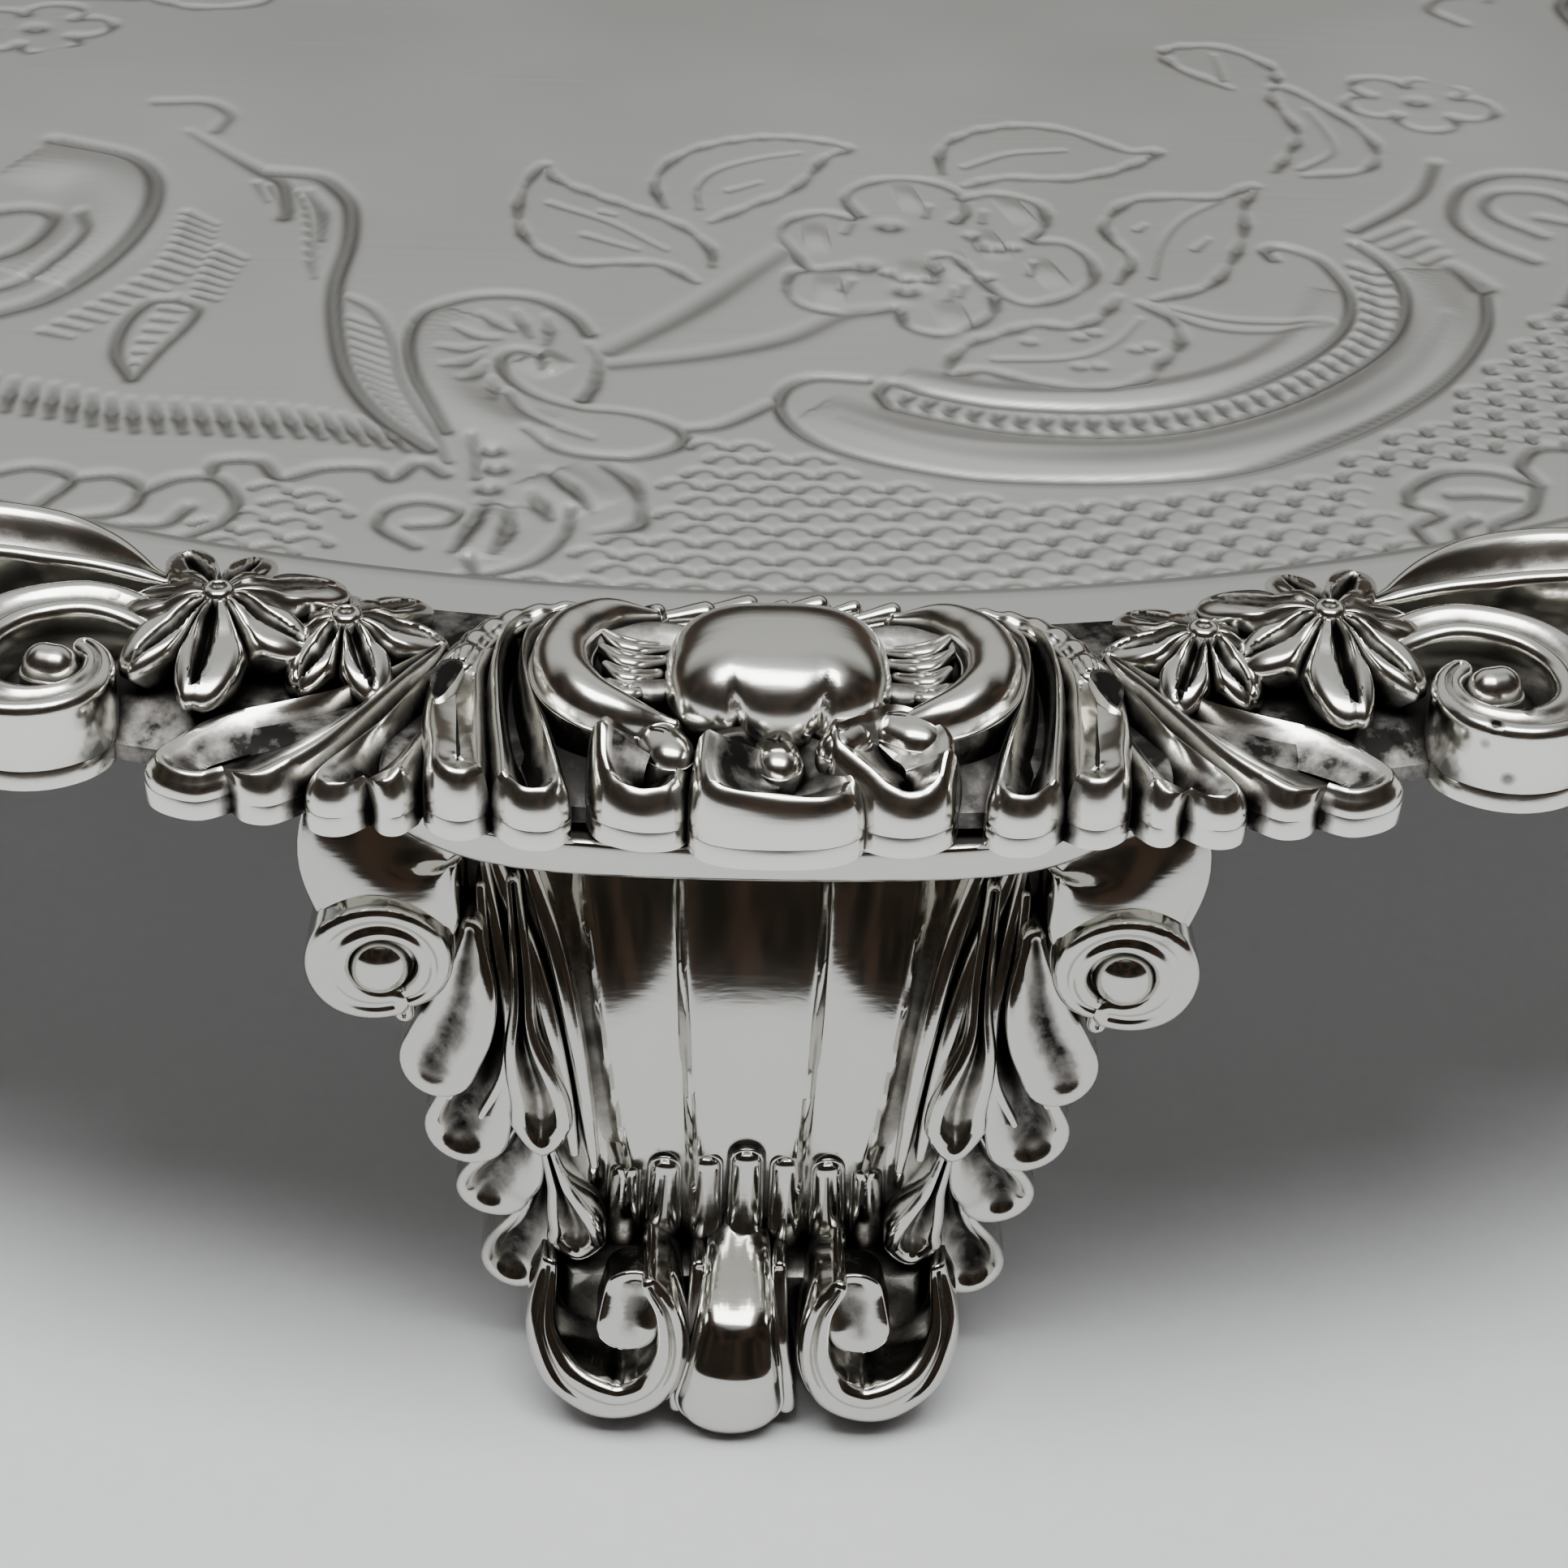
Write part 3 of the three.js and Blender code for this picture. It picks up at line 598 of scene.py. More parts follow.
def foot_core(relief):
    """The solid middle of the foot: fluted in front, hollowed behind."""
    zs = np.linspace(2.0, FOOT_TOP, 90)
    half = np.interp(zs, [2, 4, 6, 9, 13, 18, 22, 29], [6.4, 7.0, 7.8, 8.6, 9.6, 10.4, 11.2, 12.2])
    rows, tones = [], []
    cols = 160
    for z, w in zip(zs, half):
        a = np.linspace(-w, w, cols)
        front = front_radius(z) - a**2 / 120 + flute_depth(a, z) * np.clip((z - 5) / 2, 0, 1)
        back_a = np.linspace(w, -w, 40)
        thick = np.interp(z, [2, 8, 20, 29], [4.5, 5.0, 5.5, 6.5])
        hollow = 2.6 * math.exp(-((z - 15) / 8) ** 2)
        back = front_radius(z) - thick - 0.6 + (hollow) * (1 - (back_a / w) ** 2) + (back_a / w) ** 4 * 1.6
        ring = np.concatenate([np.stack([a, front], -1), np.stack([back_a, back], -1)])
        rows.append(ring)
        tones.append(np.concatenate([np.full(cols, 0.1 + 0.9 * math.exp(-((z - 4.5) / 2.5) ** 2)), np.full(40, 0.7)]))
    rows, tones = np.stack(rows), np.stack(tones)
    first, last = rows[:1].mean(1, keepdims=True), rows[-1:].mean(1, keepdims=True)
    rows = np.concatenate([np.repeat(first, rows.shape[1], 1), rows, np.repeat(last, rows.shape[1], 1)])
    tones = np.concatenate([tones[:1], tones, tones[-1:]])
    heights = np.concatenate([zs[:1], zs, zs[-1:]])[:, None] + np.zeros(rows.shape[:2])
    c, s = math.cos(FOOT_TURN), math.sin(FOOT_TURN)
    a, radius = rows[..., 0], rows[..., 1]
    relief.grid(np.stack([a * c + radius * s, a * s - radius * c, heights], -1), tones, loop=True)


def foot_leaf(relief, side):
    """Acanthus down one side of the foot: four outer lobes and two drops, on ribs that fan from the top."""
    deep = -3.4
    outer = (  # spine, half widths, crest, hollow
        ([(8.3, 11.5), (8.7, 8.6), (9.5, 6.2), (9.7, 5.4)], [0.35, 0.9, 1.5, 1.55], [0.4, 0.9, 1.2, 1.0], [0.3, 0.9, 1.1, 0.8]),
        ([(8.8, 15.0), (9.4, 12.6), (10.3, 10.9), (10.5, 10.4)], [0.35, 0.9, 1.5, 1.6], [0.5, 1.0, 1.3, 1.1], [0.3, 0.8, 1.1, 0.8]),
        ([(9.9, 21.5), (10.2, 18.6), (11.0, 15.6), (11.5, 13.9)], [0.35, 0.75, 1.4, 1.8], [0.8, 1.2, 1.5, 1.3], [0.3, 0.8, 1.2, 0.9]),
        ([(11.2, 23.0), (11.5, 20.0), (12.3, 18.0), (12.6, 17.3)], [0.5, 1.2, 1.5, 1.6], [2.2, 2.2, 2.0, 1.7], [0.1, 0.3, 0.4, 0.3]),
    )
    for spine, width, crest, hollow in outer:
        relief.lobe(mirrored(spine, side), width, crest, hollow, base=deep, rim=0.26, count=24, turn=13,
                    inward=10, skew=0.15 * side, tone=(0.0, 1.6), wall=0.8)
    ribs = (
        ([(10.9, 24.2), (10.7, 21.0), (11.2, 18.0), (12.2, 15.6)], [0.2, 0.3, 0.3, 0.2], 1.9),
        ([(10.4, 25.0), (8.9, 21.8), (8.0, 18.8), (7.4, 15.6), (7.1, 13.0)], [0.3, 0.4, 0.4, 0.35, 0.2], 1.2),
        ([(9.3, 25.6), (7.9, 22.0), (7.1, 18.6), (6.6, 15.2), (6.3, 12.2)], [0.3, 0.38, 0.36, 0.3, 0.2], 0.9),
        ([(8.6, 12.4), (9.2, 9.4), (10.2, 6.9)], [0.12, 0.16, 0.1], 1.0),
        ([(10.9, 25.4), (10.2, 22.6), (9.7, 19.6), (9.9, 17.0), (10.9, 14.6)], [0.18, 0.24, 0.26, 0.22, 0.12], 1.55),
    )
    for spine, width, crest in ribs:
        relief.lobe(mirrored(spine, side), width, [crest * 0.7, crest, crest, crest * 0.7], 0.0, base=-2.0, rim=0.3,
                    profile=flat, count=26, turn=5, inward=2, tone=(0.0, 0.0))
    drops = (
        ([(9.6, 24.4), (9.2, 21.2), (9.1, 18.6), (8.5, 16.2), (8.4, 15.1)], [0.3, 0.45, 0.55, 1.05, 1.3], 2.0),
        ([(8.2, 13.4), (7.6, 11.2), (7.1, 9.2), (7.05, 8.3)], [0.3, 0.5, 1.0, 1.25], 1.9),
    )
    for spine, width, crest in drops:
        relief.lobe(mirrored(spine, side), width, [crest * 0.6, crest * 0.85, crest, crest], [0.2, 0.4, 0.9, 0.8],
                    base=-1.5, rim=0.4, tip=(1.25, 1.9), count=26, turn=13, inward=10)


def curl(centre, start, end, reach, side, count=60):
    """A spiral on the foot's face, with angles in degrees from straight up towards the outer side."""
    angles = np.linspace(start, end, count)
    far = np.interp(angles, np.linspace(start, end, len(reach)), reach)
    t = np.radians(angles)
    return [(side * (centre[0] + f * math.sin(a)), centre[1] + f * math.cos(a)) for f, a in zip(far, t)]


def make_foot():
    relief = Relief(on_foot)
    foot_core(relief)
    # short reeds above the toes
    for k in range(-3, 4):
        a = 1.72 * k
        relief.lobe([(a * 1.02, 5.4), (a * 1.0, 8.6), (a * 0.98, 12.0 - 0.3 * abs(k))], [0.7, 0.78, 0.72],
                    [-0.2, -0.2, -0.4], 0.42, base=-1.8, rim=0.1, count=14, turn=13, inward=10,
                    profile=dome, tone=(0.45, 0.3), wall=1.3)
    # the uneven ledge between the reeds and the toes
    relief.lobe([(-8.0, 3.9), (-6.4, 5.2), (-4.4, 5.2), (-2.2, 5.0), (0.0, 5.7), (2.2, 5.1), (4.4, 5.0), (6.4, 5.5),
                 (8.0, 4.2)], [0.3, 0.42, 0.3, 0.4, 0.32, 0.42, 0.3], [0.6, 0.9, 0.7, 1.0, 0.8, 0.95, 0.6], 0.0,
                base=-2.0, rim=0.35, profile=flat, count=60, turn=5, inward=2, tone=(0.1, 0.1))
    for side in (-1, 1):
        foot_leaf(relief, side)
        relief.place = on_face(97.0)
        eye = (14.6, 22.8)
        relief.lobe(curl(eye, 190, -165, [3.0, 2.85, 2.85, 2.95, 3.05, 3.0, 3.0, 2.9, 2.5, 2.1], side),
                    [0.75, 0.85, 0.9, 0.88, 0.82, 0.75, 0.65, 0.4], [-0.1, 0.3, 0.5, 0.5, 0.4, 0.25, 0.0, -0.5],
                    [0.1, 0.15, 0.2, 0.2, 0.15, 0.1], base=-7.0, rim=0.45, count=90, inward=7, tone=(0.0, 0.2), wall=0.2)
        # the shoulder that carries the volute up to the pad
        relief.lobe([(side * 14.3, 24.4), (side * 14.7, 26.6), (side * 14.2, 28.5)], [2.7, 3.2, 3.3], [-1.0, -1.6, -2.6], 0.9,
                    base=-7.0, rim=0.3, profile=dome, tip=(0.15, 2.0), count=16, turn=13, inward=10, tone=(0.35, 0.2),
                    wall=0.5)
        relief.lobe([(side * eye[0] - 0.1, eye[1]), (side * eye[0] + 0.1, eye[1])], 2.6, -1.4, 0.0, base=-6.0,
                    profile=flat, tone=(2.0, 2.0), wall=2.0, count=3, turn=15, inward=2)
        relief.lobe([(side * (eye[0] + 0.1), eye[1] - 0.3), (side * (eye[0] + 0.1), eye[1] - 0.1)], 1.4, -0.6, 1.15,
                    base=-4.0, rim=0.1, profile=dome, count=4, turn=17, inward=8, tone=(0.0, 0.0))
        # side toe: a hooked band round a tilted oval disc
        relief.place = on_face(99.0)
        relief.lobe([(side * a, z) for a, z in ((8.2, 6.9), (8.45, 4.6), (7.4, 2.75), (5.4, 1.9), (3.75, 2.7),
                                                (2.95, 4.6), (3.15, 6.6), (3.9, 7.9))],
                    [0.35, 0.65, 1.05, 1.35, 1.15, 0.8, 0.55, 0.35], [-2.4, -0.9, 0.4, 0.9, 1.0, 0.9, 0.5, 0.0], 0.25,
                    base=-6.0, rim=0.7, tilt=-0.35 * side, count=60, turn=9, inward=6, tone=(0.0, 0.1))
        relief.lobe([(side * 4.85, 5.4), (side * 4.5, 6.9)], [1.3, 1.3], [-0.1, -0.8], [0.22, 0.22], base=-2.4,
                    rim=0.16, tip=(0.9, 2.0), root=(0.9, 2.0), count=10, turn=17, inward=6, tone=(0.0, 1.1), wall=1.8)
        relief.place = on_foot
    # middle toe: a knuckle that rolls over on to its sole, with a flange each side
    relief.place = on_face(99.0)
    for side in (-1, 1):
        relief.lobe([(side * 1.7 - 0.2, 7.0), (side * 1.9 - 0.3, 4.6), (side * 2.3 - 0.4, 1.9), (side * 2.3 - 0.4, 1.2)],
                    [0.3, 0.35, 0.4, 0.4],
                    [-2.4, -0.4, 0.2, 0.0], 0.0, base=-6.0, rim=0.4, profile=flat, count=24, turn=7, inward=3,
                    tip=(1.0, 2.0))
    relief.lobe([(-0.2, 8.0), (-0.3, 5.6), (-0.4, 3.6), (-0.5, 1.95)], [1.2, 1.6, 2.05, 2.35], [-5.0, -0.7, 0.55, 0.3],
                [0.8, 0.9, 1.0, 0.9], base=-6.0, rim=0.15, profile=dome, count=28, turn=23, inward=14, tip=(0.8, 2.0),
                tone=(0.0, 0.0), wall=1.2)
    # web behind the toes
    relief.slab([(-7.6, 6.5), (-7.9, 3.8), (-6.4, 1.6), (-3.0, 1.0), (0, 0.6), (3.0, 1.0), (6.4, 1.6), (7.9, 3.8),
                 (7.6, 6.5)], -7.0, -2.6, tone=0.8, bevel=0.5)
    return relief.mesh("foot")


def make_pad():
    """Plain crescent plate with softened edges between the border and the foot."""
    half = (PAD_HIGH[0] - PAD_LOW[0]) / 2 * 0.995
    front, back = -PAD_LOW[1], -PAD_HIGH[1]
    steps = 90
    a = np.linspace(-half, half, steps)
    front_line = np.sqrt(front**2 - a**2) - 2.4 * np.abs(a / half) ** 6
    back_line = back + 4 * (a / half) ** 4
    ring = np.concatenate([np.stack([a, front_line], -1), np.stack([a * 0.9, back_line], -1)[::-1]])
    bottom, top = PAD_LOW[2], PAD_HIGH[2]
    soft = 0.35
    middle = ring.mean(0)
    inner = ring + (middle - ring) / np.linalg.norm(middle - ring, axis=1, keepdims=True) * soft
    mid_inner = ring + (middle - ring) / np.linalg.norm(middle - ring, axis=1, keepdims=True) * soft * 0.3
    rows = [np.repeat(middle[None], len(ring), 0), inner, mid_inner, ring, ring, mid_inner, inner,
            np.repeat(middle[None], len(ring), 0)]
    levels = [bottom, bottom, bottom + soft * 0.3, bottom + soft, top - soft * 0.5, top - soft * 0.15, top, top]
    plan, z = np.stack(rows), np.stack([np.full(len(ring), h) for h in levels])
    c, s = math.cos(FOOT_TURN), math.sin(FOOT_TURN)
    relief = Relief(None)
    relief.grid(np.stack([plan[..., 0] * c + plan[..., 1] * s, plan[..., 0] * s - plan[..., 1] * c, z], -1),
                np.full(z.shape, 0.0), loop=True)
    return relief.mesh("pad")


# ---- the chased plate ----

THIRD = 2 * math.pi / FEET * ARC_RADIUS  # the chasing repeats once for each foot
CHASING_TURN = math.radians(-0.46)  # the chasing is not quite square to the border


class Chasing:
    """Punched and chased work on the field: positions are (distance along the rim, radius)."""

    def __init__(self, x, r):
        self.x, self.r = (x + THIRD / 2) % THIRD - THIRD / 2, r
        shape = (len(r), len(x))
        self.cut, self.raised = np.zeros(shape), np.zeros(shape)

    def near(self, line, reach):
        """Rows and columns near the line, and their distances from it and shares of its run."""
        low, high = line.min(0) - reach, line.max(0) + reach
        stretch = ARC_RADIUS / max(low[1], 20)
        cols = np.nonzero((self.x > low[0] - reach * stretch) & (self.x < high[0] + reach * stretch))[0]
        rows = np.nonzero((self.r > low[1]) & (self.r < high[1]))[0]
        if not len(cols) or not len(rows):
            return None
        x, r = self.x[cols][None, :], self.r[rows][:, None]
        far = np.full((len(rows), len(cols)), 1e9)
        share = np.zeros_like(far)
        for k, (px, pr) in enumerate(line):
            gap = ((x - px) * r / ARC_RADIUS) ** 2 + (r - pr) ** 2
            closer = gap < far
            far = np.where(closer, gap, far)
            share = np.where(closer, k / max(len(line) - 1, 1), share)
        return np.ix_(rows, cols), np.sqrt(far), share

    def line(self, points, width=0.3, depth=0.15, swell=(1.0,)):
        """A chased line; swell scales its depth and width along its run."""
        run = sum(math.dist(a, b) for a, b in zip(points[:-1], points[1:]))
        path, _ = smooth_line(points, max(6, int(run / 0.22)))
        found = self.near(path, width * 2.6)
        if found:
            here, far, share = found
            strength = np.interp(share, np.linspace(0, 1, len(swell)), swell)
            cut = depth * strength * np.exp(-(far / (width * (0.6 + 0.4 * strength))) ** 2)
            self.cut[here] = np.maximum(self.cut[here], cut)

    def dot(self, x, r, width=0.55, depth=0.2):
        self.line([(x - 0.05, r), (x + 0.05, r)], width, depth)

    def ridge(self, points, half, height):
        """A smooth band pushed up from behind."""
        run = sum(math.dist(a, b) for a, b in zip(points[:-1], points[1:]))
        path, _ = smooth_line(points, max(12, int(run / 0.5)))
        found = self.near(path, half)
        if found:
            here, far, share = found
            rise = height * np.cos(np.clip(far / half, 0, 1) * math.pi / 2) ** 2 * np.sqrt(np.sin(np.pi * share))
            self.raised[here] = np.maximum(self.raised[here], rise)

    def ticks(self, points, count, length, lean, width=0.26, depth=0.13, swell=(1.0, 0.5), bow=0.0):
        """Short strokes set evenly along a path, each at the lean in degrees from straight outwards."""
        path, _ = smooth_line(points, count)
        for k, (x, r) in enumerate(path):
            share = k / max(count - 1, 1)
            turn = math.radians(lean[0] + (lean[-1] - lean[0]) * share)
            long = length[0] + (length[-1] - length[0]) * share
            dx, dr = math.sin(turn) * ARC_RADIUS / r, math.cos(turn)
            mid = (x + dx * long / 2 + bow * dr, r + dr * long / 2 - bow * dx)
            self.line([(x, r), mid, (x + dx * long, r + dr * long)], width, depth, swell)


def crescent(work):
    """The large C: a double moulding round a band of comma marks."""
    outer = [(8.4, 62.6), (4.8, 62.3), (2.6, 63.2), (1.8, 65), (2.6, 67.2), (5, 69.3), (10, 71.4), (16, 72.9), (28, 74),
             (38, 72.4), (48, 69.7), (57, 66), (62.5, 62.6)]
    inner = [(9.6, 65.3), (13, 66.7), (18, 68.4), (26, 69.6), (34, 69), (42, 67.2), (50, 64.6), (56, 61), (59, 57.6),
             (59.7, 55)]
    upper = [(9.5, 65), (9.2, 63.8), (10.4, 62.9), (13, 64.2), (18, 65.8), (26, 67), (34, 66.6), (42, 64.7), (48, 62.4),
             (52, 59.6), (54, 56.6), (54.3, 55), (53, 53.4), (51.2, 53.4), (50.6, 54.4)]
    work.ridge([(4, 65.5), (10, 68.6), (17, 70.6), (27, 71.8), (37, 70.6), (47, 67.9), (55, 64.2), (61, 59)], 2.3, 0.42)
    work.ridge([(11, 62.2), (18, 64.6), (27, 65.7), (36, 64.9), (44, 62.4), (51, 58.6)], 1.3, 0.2)
    work.line([(6, 66.6), (11, 69.3), (17, 71), (27, 72), (37, 70.9), (47, 68.2), (56, 64)], 0.8, 0.12, (0.3, 1, 1, 0.3))
    for path in (outer, inner, upper):
        work.line(path, 0.32, 0.2)
    work.ticks([(11.2, 64.3), (18, 66.8), (26, 68), (34, 67.6), (42, 65.8), (50, 62.6), (56.4, 57)], 32, (1.5, 1.5),
               (-10, 30), 0.34, 0.19, (1.0, 0.6), bow=-0.35)


def leaf_outline(work, edge, teeth, veins=(), width=0.34):
    """A leaf with a toothed edge: the edge's points in turn, pressed deeper at each tooth."""
    swell = [1.0 if k % 2 else 0.45 for k in range(2 * teeth + 1)]
    work.line(edge, width, 0.18, swell)
    for vein in veins:
        work.line(vein, 0.24, 0.09, (1.0, 0.6))


def sprays(work):
    """The cluster of flowers, its leaves, and the two stems that carry it."""
    # stems
    work.line([(-11.3, 60.2), (-5, 55), (0, 50.6), (3.4, 48)], 0.7, 0.13, (0.8, 1, 0.7))
    work.line([(-10.8, 61.7), (-3, 59.9), (3, 58), (8, 55.5), (13, 54.9)], 0.6, 0.12, (0.7, 1, 0.8))
    # flowers: petals as open loops
    petals = (
        [(12.6, 43.6), (11.8, 41.4), (14, 40), (18.5, 39.2), (23.5, 39.8), (26.3, 41.6), (25.6, 43.8), (23.6, 45)],
        [(11.6, 43.9), (8, 43.3), (4.4, 44.2), (3.2, 45.8), (4.4, 48.2), (6, 50.2), (10.4, 50)],
        [(26.4, 42.2), (31, 42.2), (34.6, 43.8), (33.6, 46), (30.2, 47.9)],
        [(24, 47), (24.6, 48.9), (27.4, 48.8)],
        [(10.2, 49.9), (6, 50.2), (3.8, 50.7), (3.3, 52.9), (4.9, 54.6), (9, 55.4), (12.6, 54.8)],
        [(13, 55.2), (13.2, 57), (15.8, 58), (18.6, 57.3), (21.2, 55.8), (22.2, 54.2)],
        [(30.4, 48.2), (33.3, 49), (34, 51), (32.4, 53.3), (28.8, 54.8), (25, 55.3), (22.8, 54), (22, 52)],
        [(18, 50.5), (18.6, 49.2), (20.6, 49.4), (21.4, 51.2), (22.6, 52)],
        [(13.2, 50.8), (14.8, 51.8), (17.4, 51.9), (18.2, 50.6)],
    )
    for petal in petals:
        work.line(petal, 0.34, 0.17, (1.2, 0.5, 1.0, 0.4, 1.0, 0.6, 1.2))
        middle = np.mean(petal, 0)
        work.ridge([tuple(middle - [1.5, 0]), tuple(middle + [1.5, 0])], 2.2, 0.12)
    for x, r in ((15.6, 45.2), (14.4, 53), (11.3, 50)):
        work.dot(x, r, 0.6, 0.26)
    for x, r in ((11, 45.2), (21, 43.6), (27, 44.8), (9, 52.2), (18.4, 53.6), (19.6, 53.2), (27.6, 51.4)):
        work.line([(x - 0.6, r + 0.6), (x + 0.5, r - 0.6)], 0.26, 0.09)
    # leaves round the cluster
    leaf_outline(work, [(-4, 50), (-4.6, 47.8), (-8, 45.4), (-13, 43.8), (-20, 42.2), (-25.6, 40.8), (-28.4, 39.2),
                        (-28.4, 42.4), (-26.4, 46), (-23, 49), (-18, 50.8), (-13, 50.3), (-9, 50.2), (-5.4, 52)], 13,
                 ([(-24, 44), (-16, 45.6), (-9, 48.4)], [(-18, 47.4), (-12, 48.6)], [(-17.5, 44.4), (-16, 44.6)]))
    leaf_outline(work, [(-10.6, 43), (-12.8, 40), (-11.6, 37), (-8, 35), (-3, 33.8), (3, 33.2), (10, 33.6), (15, 34.8),
                        (11, 36), (8.4, 38), (5, 40.4), (0, 42.4), (-4.6, 44.6)], 12,
                 ([(-6.4, 43), (-7, 40), (-4.6, 37.8), (1, 36.2), (7, 35.4)], [(-3, 40.6), (1, 39.4)]))
    leaf_outline(work, [(26.4, 38.8), (28, 36.6), (31, 35), (36, 34), (42, 33.8), (47, 34.4), (51, 36), (54, 39.4),
                        (57.4, 40.4), (50, 41.4), (42, 41.5), (34, 40.3), (28, 40.8)], 12,
                 ([(30, 38.4), (38, 37.4), (46, 38)],))
    leaf_outline(work, [(34.4, 54), (38, 51.6), (38.4, 48.8), (40, 47), (45, 45.3), (50, 45.6), (55, 46.8), (61, 46.6),
                        (56.6, 48.2), (52, 51), (47, 53.6), (42, 55.8), (36, 56.4)], 11,
                 ([(38, 54), (43, 50.4), (48.6, 48.2), (55, 47.2)], [(42, 48.6), (43.4, 48.2)], [(45, 51.8), (47.6, 51)]))
    leaf_outline(work, [(33, 55.6), (30, 57.4), (27, 58.2), (24, 57.6), (21, 58.2), (18, 59), (15.8, 60.4), (15, 62.2),
                        (17.6, 62), (20.6, 63.4), (25, 64.8), (29, 64.4), (31.4, 62.8), (34.4, 61), (35.6, 58.6), (34.4, 56.6)],
                 14, ([(19, 61), (25, 61.4), (29, 60.4), (33, 58.2)],), 0.38)
    for x, r in ((22.5, 59.4), (26.8, 59.4), (28.2, 59.1), (26.5, 62.6), (25, 62.4), (31.6, 61.2), (30.4, 61.3)):
        work.dot(x, r, 0.34, 0.14)
    work.line([(35, 57), (38, 60), (42, 61.4), (47.4, 62)], 0.36, 0.09, (1, 0.5))
    work.line([(36.6, 57.6), (40, 59.6), (44.6, 61), (47.6, 61.8)], 0.3, 0.06)


def swirl(work):
    """The turned-over scroll with its rayed bell, and the leafy tail below it."""
    work.line([(-13.4, 58.6), (-15.2, 56.9), (-18, 55.6), (-21, 55.2), (-24.6, 55.9), (-27.2, 57.8), (-27.5, 59.6),
               (-26.6, 62), (-24.6, 64.8), (-22, 67.6), (-20, 69.8)], 0.36, 0.18)
    work.line([(-12, 65.4), (-11.6, 63.6), (-12, 61), (-13, 59.8)], 0.36, 0.14, (1.3, 1, 0.4))
    work.line([(-15.8, 62.8), (-16.6, 61.4), (-18.4, 61), (-19.2, 62), (-18, 63.8), (-15.4, 65.4), (-12, 66.3), (-9.4, 66.4),
               (-7, 66.8), (-5, 67.8), (-4.6, 68.8), (-5.4, 69.8), (-8, 70.8), (-12, 70.6), (-15, 69)], 0.32, 0.17,
              (0.8, 1, 0.6, 0.5, 1.2, 1, 0.6))
    work.ridge([(-24.5, 57.6), (-25.2, 60), (-22, 65.6), (-17.5, 68.5), (-13, 69)], 2.2, 0.24)
    work.ridge([(-17.2, 61.6), (-14.4, 63)], 1.5, 0.25)
    work.line([(-17.4, 65.4), (-15, 67.6), (-10.6, 69.2)], 0.3, 0.12, (1, 0.5))
    work.dot(-15.9, 62.4, 0.36, 0.14)
    rays = (((-17.4, 57.2), (-16.4, 60)), ((-20.2, 57), (-18, 59.4)), ((-22.8, 57.6), (-19.6, 59)),
            ((-24, 59.6), (-20.4, 60)), ((-24, 62), (-21.2, 60.9)), ((-22.8, 63.8), (-21, 61.9)),
            ((-21, 64.8), (-20.2, 62.8)), ((-18.2, 66.2), (-19, 64.2)))
    for start, end in rays:
        middle = ((start[0] + end[0]) / 2 + 0.3, (start[1] + end[1]) / 2 + 0.3)
        work.line([start, middle, end], 0.34, 0.13, (0.5, 1.1, 0.5))
    # tail
    work.line([(-4.4, 67.8), (-2, 67.2), (1.4, 65)], 0.34, 0.16)
    work.line([(-18.2, 70), (-17.4, 71.6), (-16.6, 73.8)], 0.3, 0.12)
    for x, r in ((-16.5, 71.2), (-15.7, 72.8), (-15.6, 74.7)):
        work.dot(x, r, 0.5, 0.26)
    strokes = ([(-15.4, 75.7), (-15.6, 78.2), (-15.9, 80.3)], [(-13.9, 76.3), (-13.5, 78.2), (-13.8, 80.2)],
               [(-13, 74.8), (-11.5, 76.8)], [(-12.6, 72.7), (-10.6, 74.4), (-9.5, 75.7)])
    for path in strokes:
        work.line(path, 0.4, 0.2, (0.5, 1.2, 0.6))
    work.line([(-9.2, 71.6), (-7.4, 73), (-6.6, 74.8), (-6.5, 76.8), (-8.6, 77.8)], 0.4, 0.19, (0.6, 1.2, 0.6, 1.2, 0.4))
    work.line([(-10.4, 76), (-10.4, 78.2), (-11.6, 80.6), (-14, 82), (-15, 80.8)], 0.32, 0.16)
    work.line([(-18.8, 78.6), (-17, 78), (-16.8, 76.8), (-19, 76.4), (-20.6, 77.4), (-20.4, 79), (-18, 80.3)], 0.32, 0.16)
    work.ridge([(-13, 73), (-9, 76)], 2.4, 0.18)
    work.ridge([(-14.6, 76), (-14.4, 81)], 1.8, 0.18)


